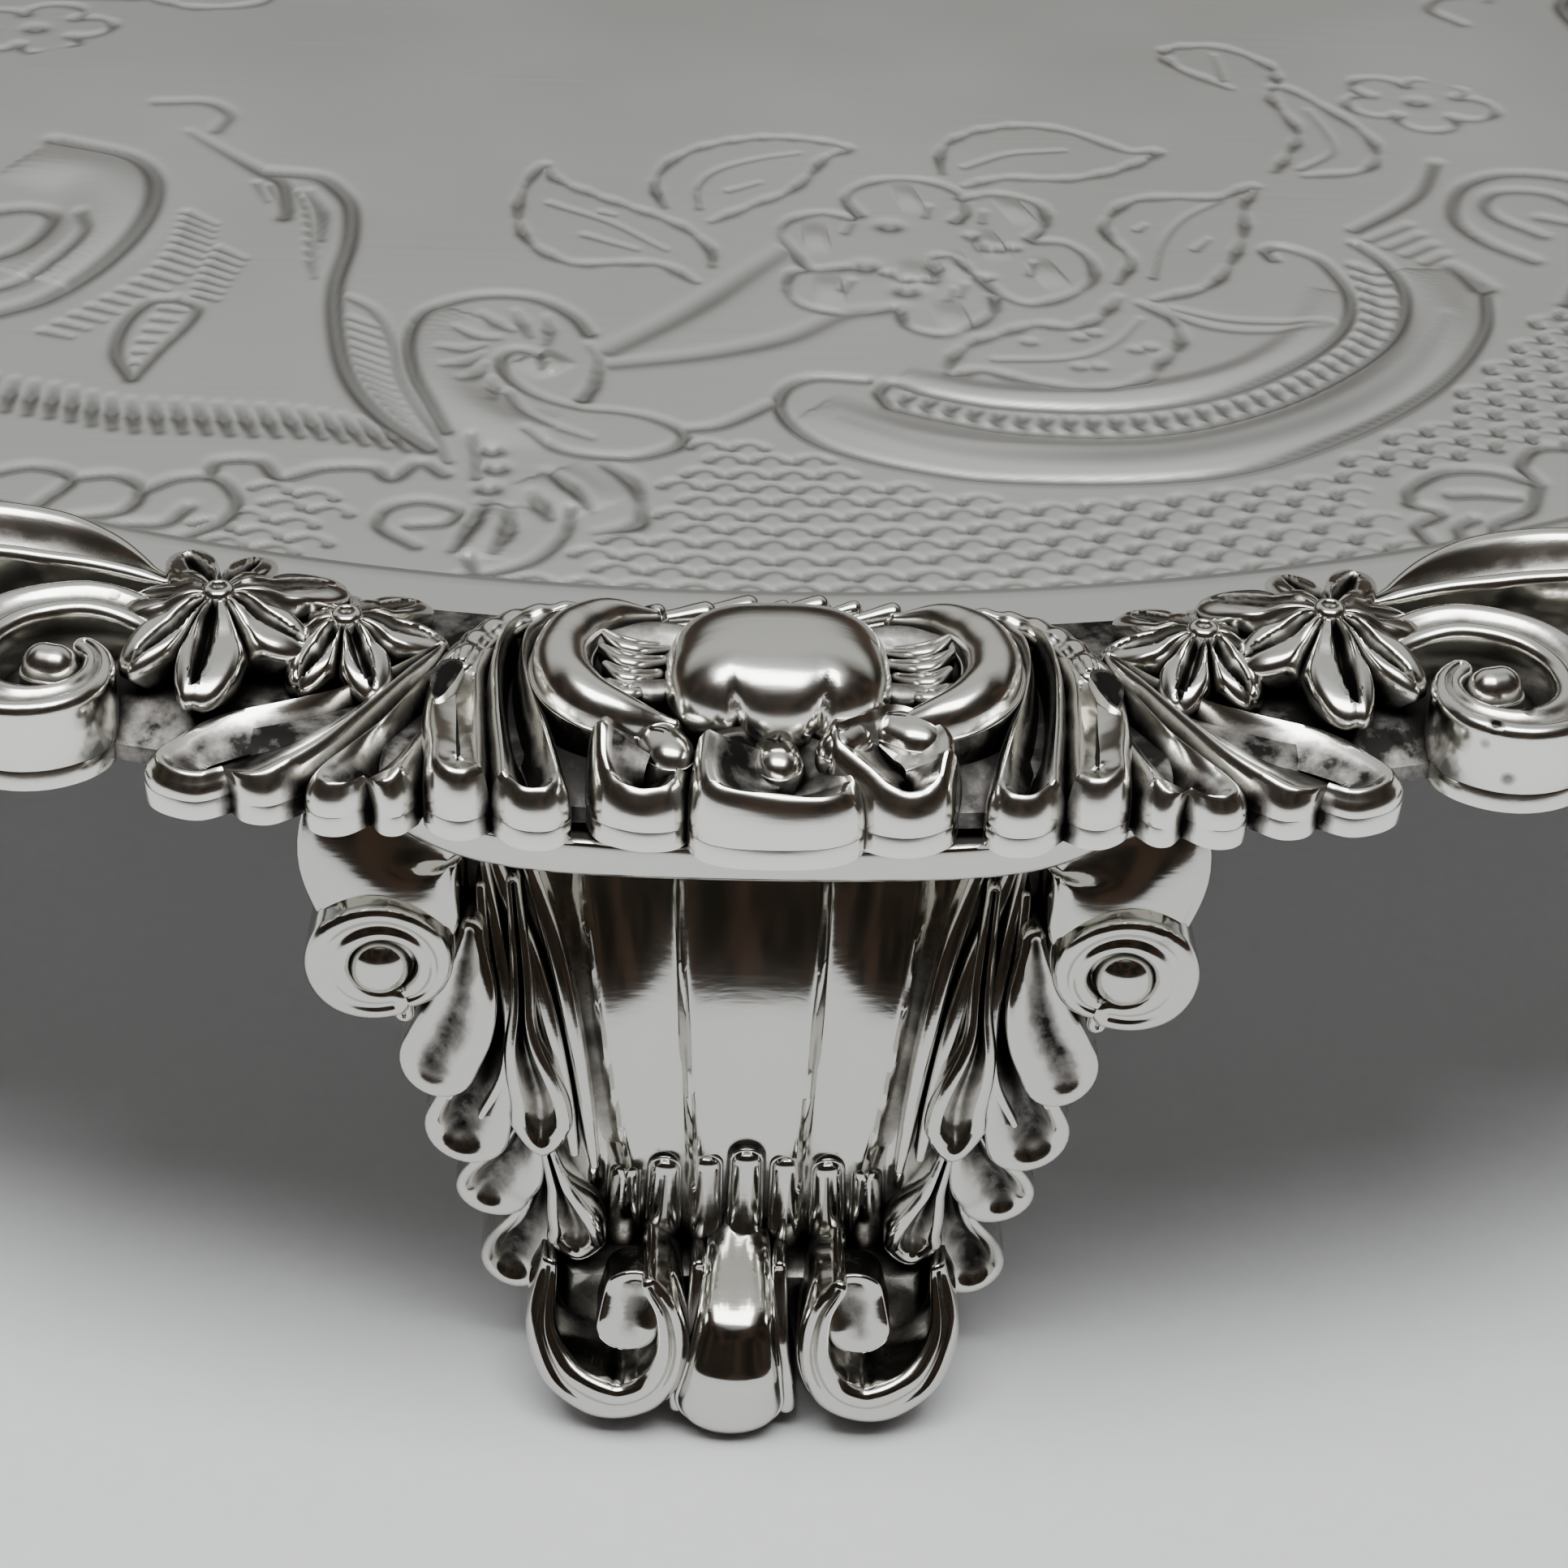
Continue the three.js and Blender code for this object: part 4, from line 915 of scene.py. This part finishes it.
def left_motif(work):
    """The S-scroll, the fan of strokes under it, and the large volute beyond."""
    work.line([(-57, 46.9), (-52, 46), (-48, 46.7), (-44, 48.4), (-40, 52), (-36.6, 57), (-33, 61.4), (-29, 65.8),
               (-25, 69), (-20.4, 71.6)], 0.46, 0.22)
    work.line([(-35.6, 57.8), (-31.6, 58.9), (-28.2, 61.6), (-25.2, 65.4), (-21, 69.6), (-18.8, 72.6)], 0.3, 0.1)
    work.ticks([(-33.4, 60), (-30, 64), (-26, 67.4), (-22.6, 69.8)], 14, (3.0, 1.3), (75, 60), 0.26, 0.1)
    work.line([(-50, 47.8), (-46, 49.6), (-42.6, 52.6)], 0.4, 0.15, (0.6, 1, 0.6))
    work.ticks([(-56, 48.4), (-51, 48.2), (-46, 50.8), (-41, 55)], 12, (2.4, 2.0), (50, 35), 0.3, 0.1)
    work.line([(-72, 45.7), (-65, 46.3), (-58, 47.1), (-54, 47.6), (-50, 49.8), (-48.4, 51.2)], 0.42, 0.16, (0.4, 0.7, 1.2, 1))
    work.ticks([(-54, 73.6), (-46, 72.3), (-41, 72), (-38, 71.2), (-34, 70.4), (-30, 69.7), (-24.4, 69.8)], 23, (3.1, 2.9),
               (28, 42), 0.36, 0.17, (0.5, 1.2, 0.6))
    work.line([(-46.8, 61.9), (-44.6, 62.1), (-43.5, 64), (-42.9, 67), (-42.1, 70)], 0.34, 0.15)
    work.line([(-46.8, 61.9), (-48.2, 62.8), (-47.6, 65.2), (-45.4, 68), (-42.2, 70)], 0.38, 0.18)
    work.ticks([(-46.6, 63), (-45, 66), (-43.4, 68.6)], 6, (1.3, 0.8), (100, 110), 0.26, 0.14)
    work.line([(-80, 51.6), (-72, 50.2), (-66, 51), (-61, 53.5), (-57.4, 57), (-55.4, 61), (-55, 65), (-56.2, 67.6)], 0.5, 0.24)
    work.ridge([(-78, 54.4), (-70, 53), (-64, 54.8), (-59.6, 58.6), (-58, 64)], 3.4, 0.4)
    work.line([(-66, 66), (-63, 62.6), (-63.6, 60), (-66, 57.9), (-69, 58.4), (-70.6, 61), (-69, 63.4)], 0.46, 0.18)
    work.line([(-64, 57), (-61, 58.4), (-59.3, 61), (-58.6, 64.4), (-60, 67)], 0.4, 0.14)
    work.ticks([(-57, 53.4), (-54, 56), (-52, 58.6), (-51.2, 61.4), (-51.4, 65), (-51.6, 68)], 16, (2.2, 1.5), (80, 96), 0.28, 0.14)
    work.ticks([(-49.6, 56), (-47.4, 59), (-45.8, 61)], 7, (1.9, 1.2), (78, 88), 0.28, 0.13)
    work.line([(-82, 44.4), (-78, 42.4), (-73, 42.6), (-70, 44.6)], 0.4, 0.12)


def right_motif(work):
    """What lies beyond the large C: a leaf, a fan of strokes and a second swirl."""
    work.line([(62, 53.7), (70, 53), (75, 52.3), (82, 50.6)], 0.4, 0.16)
    for k in range(4):
        work.line([(61.6 + 0.2 * k, 55 + 1.2 * k), (67 - 0.7 * k, 54.8 + 1.2 * k)], 0.34, 0.09)
    work.line([(63.7, 59.6), (63.2, 61), (62.6, 62.3)], 0.5, 0.22, (0.6, 1, 1.4))
    work.line([(70.2, 61.6), (70, 58.5), (71.6, 56), (75.4, 54.2), (80, 53.4), (85, 54.2), (88, 57), (87, 61)], 0.4, 0.18)
    work.line([(75, 60), (75.2, 57), (77.4, 55.4), (80.6, 55.2), (83.4, 57), (82.6, 59.6), (79.6, 60.2), (78.2, 58.6)], 0.36, 0.15)
    leaf_outline(work, [(66, 45.8), (71, 44.6), (78, 42.8), (85, 39), (90, 38.4), (87, 42.4), (82, 46.6), (75, 48.6), (68, 47.2)],
                 9, ([(69, 46.4), (77, 45.6), (85, 41.4)],))
    leaf_outline(work, [(84, 36.4), (86, 32), (92, 30.4), (99, 32.4), (97, 36), (91, 38)], 7, ([(86, 35.4), (95, 33)],))
    for k in range(5):
        turn = 2 * math.pi * k / 5
        x, r = 97 + 5.5 * math.cos(turn), 45.5 + 2.7 * math.sin(turn)
        loop = [(x + 3.4 * math.cos(turn + a), r + 1.7 * math.sin(turn + a)) for a in np.linspace(-1.9, 1.9, 9)]
        work.line(loop, 0.34, 0.16, (1.2, 0.5, 1.0, 0.5, 1.2))
    work.dot(97, 45.5, 0.6, 0.24)
    work.line([(66, 66), (72, 64.6), (79, 66.4), (84, 69.4), (90, 70.6), (97, 69.6), (103, 66)], 0.4, 0.18)
    work.ticks([(67, 67), (74, 66.6), (80, 69), (86, 71.6), (94, 72), (102, 69)], 26, (2.4, 2.4), (30, -30), 0.3, 0.14,
               (0.5, 1.1, 0.5))
    work.line([(88, 64), (92, 60), (97, 58.4), (101, 60.6), (100, 64.6), (95.6, 65.4), (93.4, 62.8), (96.4, 61)], 0.36, 0.16)


def border_scrolls(work):
    """Lobed leaves that break into the scale ground beside the border."""
    shapes = ([(-31.4, 77), (-31.8, 75.6), (-29.6, 74.9), (-27.6, 76), (-25.6, 74.6), (-23, 74), (-21.4, 74.7), (-20.4, 73),
               (-18.6, 73.8)],
              [(-34.2, 79.4), (-33, 77.6), (-31, 77), (-29, 78.4), (-28.6, 80.4), (-30, 82.4)],
              [(-38.4, 79.4), (-36.4, 78.4), (-34.4, 79), (-34, 81), (-36, 82.4)],
              [(-43, 81), (-41, 79.2), (-38.4, 79.4), (-38.4, 82)], [(-31, 79.8), (-31.4, 81.4), (-33.4, 82.2)],
              [(37.6, 78.8), (38.8, 77.5), (41.6, 76.8), (44.2, 77.6), (45.8, 79.4)],
              [(36.4, 82.2), (36.7, 80.7), (38.6, 80), (37.6, 78.8)], [(38.2, 82.4), (38.8, 81.4), (40, 81)],
              [(40.2, 82.6), (41, 81.7), (43.4, 81.2), (45.8, 79.4)], [(40.4, 78.8), (42, 79.2), (43.6, 80)],
              [(45.8, 79.4), (46.4, 77.6), (48.6, 76.6), (51, 77.8), (52, 80), (51, 82.2)])
    for path in shapes:
        work.line(path, 0.34, 0.18)


def scale_ground(work):
    """Rows of arched punch marks between the border and the scrolls."""
    tail = [(-30, 83), (-28, 76.6), (-21, 75.6), (-17, 81.6), (-9.6, 80.5), (-9.4, 78.4), (-5.6, 77.4), (-5.8, 73), (-4, 69.4),
            (0, 66.8), (2, 68.8), (5.4, 71), (10, 72.9), (16, 74.2), (28, 75.2), (38, 73.6), (48, 71), (57, 67.4),
            (63, 65), (74, 70), (88, 75), (98, 74), (104, 71)]
    xs, limit = [p[0] for p in tail], [p[1] for p in tail]
    pitch, rise = 2.72, 1.28
    row = 0
    level = 82.0
    while level > 66:
        shift = pitch / 2 if row % 2 else 0
        for x in np.arange(-33 + shift, 104, pitch):
            r = level + 0.09 * math.sin(x * 2.1 + row)
            blocked = 35.6 < x < 52.5 and r > 76.2 + abs(x - 43.5) * 0.12
            blocked = blocked or (-22.2 < x < -16.2 and r > 75.4)
            if r < np.interp(x, xs, limit) + 0.3 or blocked:
                continue
            lean = np.clip((x - 6) / 16, 0, 1)
            left, right = 1.0 + 0.3 * lean, 1.0 - 0.65 * lean
            work.line([(x - 1.05, r + 0.34), (x - 0.75, r), (x, r - 0.25), (x + 0.75, r - 0.05), (x + 1.05, r + 0.26)], 0.22,
                      0.15, (1.25 * left, 1.0 * left, 0.45, 0.55 * right, 1.2 * right))
        row += 1
        level -= rise


def make_plate():
    """The whole sheet: plain middle, chased field, the step up to the flange, and the plain underside, with painted
    shade on the flange's edge and the underside.
    """
    fine = np.arange(-62, 62, 0.2)
    coarse = np.arange(62, 2 * math.pi * ARC_RADIUS - 62, 0.5)
    x = np.concatenate([fine, coarse])
    field = np.arange(28.0, FIELD_RADIUS, 0.19)
    work = Chasing(x, field)
    for part in (crescent, sprays, swirl, left_motif, right_motif, border_scrolls, scale_ground):
        part(work)
    relief = work.raised - work.cut
    flange = node_box("salver_plate")[1][0]
    edge = ((FIELD_RADIUS, 0), (82.8, 0.12), (83.2, 0.5), (83.6, 0.74), (84.1, 0.8), (84.6, 0.8), (88, 0.8), (flange - 0.3, 0.8),
            (flange, 0.6), (flange, -0.2), (flange - 0.3, -0.4), (84.8, -0.4), (84.2, -0.42), (83.4, -0.7), (82.7, -1.1),
            (82, -SHEET), (1.0, -SHEET), (0, -SHEET))
    # painted shade: darker tone on the flange's outer edge (1.3) and on the underside (0.6), which also keeps the
    # underside from lighting the floor in its shadow
    under = [0.0] * 7 + [1.3] * 4 + [0.6] * (len(edge) - 11)
    angle = x / ARC_RADIUS
    radii = np.concatenate([[0.0, 1.0, 8.0, 16.0, 24.0], field, [r for r, _ in edge]])
    plan = radii[:, None] + 0 * angle[None, :]
    height = np.concatenate([np.zeros((5, len(x))), relief, np.array([h for _, h in edge])[:, None] + np.zeros((1, len(x)))])
    tone = np.concatenate([np.zeros((5, len(x))), np.clip(work.cut / 0.15, 0, 1), np.array(under)[:, None] + np.zeros((1, len(x)))])
    points = np.stack([plan * np.sin(angle), -plan * np.cos(angle), PLATE_TOP + height], -1)
    relief = Relief(None)
    relief.grid(points, tone, loop=True)
    return relief.mesh("plate", sharp=180)


# ---- materials ----

def shader(name):
    material = bpy.data.materials.new(name)
    material.use_nodes = True
    tree = material.node_tree
    tree.nodes.clear()
    out = tree.nodes.new("ShaderNodeOutputMaterial")
    body = tree.nodes.new("ShaderNodeBsdfPrincipled")
    tree.links.new(body.outputs["BSDF"], out.inputs["Surface"])
    return material, tree, body


def node(tree, kind, inputs=(), **settings):
    """A node with its settings, and inputs that are values or other nodes' sockets."""
    n = tree.nodes.new(kind)
    for key, value in settings.items():
        setattr(n, key, value)
    for key, value in dict(inputs).items():
        if isinstance(value, bpy.types.NodeSocket):
            tree.links.new(value, n.inputs[key])
        else:
            n.inputs[key].default_value = value
    return n


def maths(tree, operation, a, b=0.0, clamp=False):
    return node(tree, "ShaderNodeMath", {0: a, 1: b}, operation=operation, use_clamp=clamp).outputs[0]


def ramp(tree, value, low, high, out_low=0.0, out_high=1.0):
    return node(tree, "ShaderNodeMapRange", {"Value": value, "From Min": low, "From Max": high,
                                             "To Min": out_low, "To Max": out_high}, clamp=True).outputs["Result"]


def blend(tree, factor, a, b):
    n = tree.nodes.new("ShaderNodeMix")
    n.data_type = "RGBA"
    for socket, value in ((n.inputs[0], factor), (n.inputs[6], a), (n.inputs[7], b)):
        if isinstance(value, bpy.types.NodeSocket):
            tree.links.new(value, socket)
        else:
            socket.default_value = value
    return n.outputs[2]


SILVER = (0.86, 0.848, 0.79, 1)
DULL = (0.42, 0.40, 0.37, 1)
OXIDE = (0.018, 0.017, 0.016, 1)


def cast_silver(name, brightness, smooth):
    """Polished cast silver: bright on every high point, dull then black where polishing can't reach, with pits; the
    tone attribute also paints shade in the leaf's eyes, and the lower brightness given to the feet and pads is painted
    shade.
    """
    material, tree, body = shader(name)
    place = node(tree, "ShaderNodeTexCoord").outputs["Object"]
    tarnish_and_painted_shade = node(tree, "ShaderNodeAttribute", attribute_name="tarnish_and_painted_shade").outputs["Fac"]
    cavity = node(tree, "ShaderNodeAmbientOcclusion", {"Distance": 0.0016}, samples=8, only_local=False).outputs["AO"]
    mottle = node(tree, "ShaderNodeTexNoise", {"Vector": place, "Scale": 900.0, "Detail": 4.0, "Roughness": 0.6}
                  ).outputs["Fac"]
    coarse = node(tree, "ShaderNodeTexNoise", {"Vector": place, "Scale": 220.0, "Detail": 3.0}).outputs["Fac"]
    # oxide in the hollows from the AO cavity and the tone attribute, plus the painted shade that the tone attribute
    # carries
    oxide_and_painted_shade = maths(tree, "ADD", ramp(tree, cavity, 0.62, 0.12, 0.0, 0.9), maths(tree, "MULTIPLY", tarnish_and_painted_shade, 0.55))
    speckle = maths(tree, "MULTIPLY", maths(tree, "SUBTRACT", mottle, 0.5), 0.9)
    patch = maths(tree, "MULTIPLY", maths(tree, "SUBTRACT", coarse, 0.5), 0.6)
    oxide_and_painted_shade = maths(tree, "ADD", oxide_and_painted_shade, maths(tree, "MULTIPLY", maths(tree, "ADD", speckle, patch), ramp(tree, oxide_and_painted_shade, 0.1, 0.5)))
    half = ramp(tree, oxide_and_painted_shade, 0.25, 0.6)
    full = ramp(tree, oxide_and_painted_shade, 0.5, 0.95)
    pits = node(tree, "ShaderNodeTexVoronoi", {"Vector": place, "Scale": 520.0, "Randomness": 1.0}).outputs["Distance"]
    where = node(tree, "ShaderNodeTexNoise", {"Vector": place, "Scale": 130.0, "Detail": 2.0}).outputs["Fac"]
    pit = maths(tree, "MULTIPLY", ramp(tree, pits, 0.2, 0.1), ramp(tree, where, 0.6, 0.66))
    colour = blend(tree, half, tuple(brightness * v for v in SILVER[:3]) + (1,), DULL)
    colour = blend(tree, full, colour, OXIDE)
    colour = blend(tree, pit, colour, OXIDE)
    tree.links.new(colour, body.inputs["Base Color"])
    body.inputs["Metallic"].default_value = 1.0
    rough = maths(tree, "ADD", ramp(tree, half, 0, 1, smooth, 0.45), maths(tree, "MULTIPLY", maths(tree, "SUBTRACT", coarse, 0.5), 0.12))
    tree.links.new(rough, body.inputs["Roughness"])
    stretched = node(tree, "ShaderNodeMapping", {"Vector": place, "Scale": (300.0, 2600.0, 2600.0)}).outputs["Vector"]
    scratch = node(tree, "ShaderNodeTexNoise", {"Vector": stretched, "Scale": 1.0, "Detail": 2.0}).outputs["Fac"]
    hammer = node(tree, "ShaderNodeTexNoise", {"Vector": place, "Scale": 350.0, "Detail": 1.0}).outputs["Fac"]
    height = maths(tree, "ADD", maths(tree, "MULTIPLY", scratch, 0.12), maths(tree, "MULTIPLY", hammer, 0.5))
    height = maths(tree, "SUBTRACT", height, pit)
    bump = node(tree, "ShaderNodeBump", {"Strength": 0.45, "Distance": 0.0001, "Height": height})
    tree.links.new(bump.outputs["Normal"], body.inputs["Normal"])
    return material


def plate_silver():
    """Satin sheet silver, darkened with oxide in the chased lines and, as painted shade, on the flange's edge and
    underside, with fine wiping scratches.
    """
    material, tree, body = shader("plate_silver")
    place = node(tree, "ShaderNodeTexCoord").outputs["Object"]
    tarnish_and_painted_shade = node(tree, "ShaderNodeAttribute", attribute_name="tarnish_and_painted_shade").outputs["Fac"]
    cloud = node(tree, "ShaderNodeTexNoise", {"Vector": place, "Scale": 45.0, "Detail": 3.0}).outputs["Fac"]
    # darker where the tone is high: oxide in the chased lines, painted shade on the flange's edge and underside
    colour = blend(tree, ramp(tree, tarnish_and_painted_shade, 0.15, 1.0, 0.0, 0.62), (0.81, 0.81, 0.785, 1), (0.10, 0.095, 0.09, 1))
    tree.links.new(colour, body.inputs["Base Color"])
    body.inputs["Metallic"].default_value = 1.0
    tree.links.new(ramp(tree, cloud, 0.3, 0.7, 0.33, 0.40), body.inputs["Roughness"])
    scratches = []
    for angle, scale in ((0.3, 1500.0), (1.4, 1900.0)):
        turned = node(tree, "ShaderNodeMapping", {"Vector": place, "Rotation": (0, 0, angle), "Scale": (60.0, scale, 60.0)})
        scratches.append(node(tree, "ShaderNodeTexNoise", {"Vector": turned.outputs["Vector"], "Scale": 1.0, "Detail": 2.0}
                              ).outputs["Fac"])
    height = maths(tree, "ADD", scratches[0], scratches[1])
    bump = node(tree, "ShaderNodeBump", {"Strength": 0.12, "Distance": 0.00003, "Height": height})
    tree.links.new(bump.outputs["Normal"], body.inputs["Normal"])
    return material


# ---- assembly ----

def add_piece(name, data, turn, material, replaced):
    piece = bpy.data.objects.new(name, data)
    bpy.context.scene.collection.objects.link(piece)
    piece.rotation_euler[2] = turn
    if not data.materials:
        data.materials.append(material)
    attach(piece, "root")
    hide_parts(replaced)
    return piece


CAST = cast_silver("border_silver", 0.95, 0.18)
# painted shade: the feet and pads use a darker copy of the border's cast silver
SHADED_FOOT_SILVER = cast_silver("foot_silver_painted_shade", 0.70, 0.12)
PLATE = plate_silver()
rose_mesh = make_rose_casting()
scroll_mesh = make_scroll_casting()
step = 2 * math.pi / ROSES
for i in range(ROSES):
    add_piece(f"rose_border_{i + 1}", rose_mesh, step * i, CAST, f"rose_casting_{i + 1}")
    add_piece(f"scroll_border_{i + 1}", scroll_mesh, step * (i + 0.5), CAST, f"scroll_casting_{i + 1}")

foot_mesh = make_foot()
pad_mesh = make_pad()
for i in range(FEET):
    turn = 2 * math.pi / FEET * i
    add_piece(f"cast_foot_{i + 1}", foot_mesh, turn, SHADED_FOOT_SILVER, f"foot_{i + 1}")
    add_piece(f"foot_plate_{i + 1}", pad_mesh, turn, SHADED_FOOT_SILVER, f"foot_pad_{i + 1}")

add_piece("chased_plate", make_plate(), CHASING_TURN, PLATE, "salver_plate")


# ---- floor, light, camera ----

def studio():
    bpy.ops.mesh.primitive_plane_add(size=6.0, location=(0, 0, 0))
    floor = bpy.context.object
    floor.name = "floor"
    material, tree, body = shader("floor_paper")
    place = node(tree, "ShaderNodeTexCoord").outputs["Object"]
    grain = node(tree, "ShaderNodeTexNoise", {"Vector": place, "Scale": 900.0, "Detail": 3.0}).outputs["Fac"]
    tree.links.new(blend(tree, grain, (0.80, 0.81, 0.83, 1), (0.86, 0.87, 0.88, 1)), body.inputs["Base Color"])
    body.inputs["Roughness"].default_value = 0.7
    floor.data.materials.append(material)

    def lamp(name, size, power, place, aim, colour=(1, 1, 1)):
        light = bpy.data.lights.new(name, "AREA")
        light.shape = "RECTANGLE"
        light.size, light.size_y = size
        light.energy = power
        light.color = colour
        holder = bpy.data.objects.new(name, light)
        bpy.context.scene.collection.objects.link(holder)
        holder.location = place
        holder.rotation_euler = (Vector(aim) - Vector(place)).to_track_quat("-Z", "Y").to_euler()

    lamp("overhead", (0.68, 0.32), 7.6, (-0.02, -0.235, 0.75), (0, -0.05, 0), (0.985, 0.99, 1.0))

    # a room that is dark and warm at eye level in front and brighter overhead and behind
    world = bpy.data.worlds.new("room")
    bpy.context.scene.world = world
    world.use_nodes = True
    tree = world.node_tree
    way = node(tree, "ShaderNodeTexCoord").outputs["Generated"]
    parts = node(tree, "ShaderNodeSeparateXYZ", {"Vector": way}).outputs
    high = ramp(tree, parts["Z"], 0.80, 0.93)
    behind = maths(tree, "MULTIPLY", ramp(tree, parts["Y"], 0.25, 0.60), ramp(tree, parts["Z"], 0.28, 0.46))
    folds = node(tree, "ShaderNodeTexNoise", {"Vector": way, "Scale": 3.5, "Detail": 2.0}).outputs["Fac"]
    dark = blend(tree, ramp(tree, folds, 0.4, 0.65), (0.020, 0.018, 0.014, 1), (0.075, 0.050, 0.036, 1))
    dim = blend(tree, behind, dark, (0.70, 0.705, 0.69, 1))
    sky = blend(tree, high, dim, (0.80, 0.81, 0.82, 1))
    tree.links.new(sky, tree.nodes["Background"].inputs["Color"])
    tree.nodes["Background"].inputs["Strength"].default_value = 0.8


def camera():
    """Close and low in front of the first foot, with a slight roll."""
    away, above, sideways = 199.3, 67.6, math.radians(-1.06)
    pitch, yaw, roll = math.radians(33.4), math.radians(-2.22), math.radians(2.08)
    place = Vector((away * math.sin(sideways), -away * math.cos(sideways), PLATE_TOP + above)) * MM
    ahead = Vector((-math.sin(yaw) * math.cos(pitch), math.cos(yaw) * math.cos(pitch), -math.sin(pitch)))
    right = Vector((math.cos(yaw), math.sin(yaw), 0))
    up = right.cross(ahead)
    turned_right = right * math.cos(roll) + up * math.sin(roll)
    turned_up = up * math.cos(roll) - right * math.sin(roll)
    data = bpy.data.cameras.new("camera")
    data.sensor_width = 36.0
    data.lens = 36.0 * 4000 / 1932
    data.clip_start, data.clip_end = 0.005, 50.0
    holder = bpy.data.objects.new("camera", data)
    bpy.context.scene.collection.objects.link(holder)
    holder.matrix_world = Matrix.Translation(place) @ Matrix(
        (turned_right, turned_up, -ahead)).transposed().to_4x4()
    bpy.context.scene.camera = holder


studio()
camera()
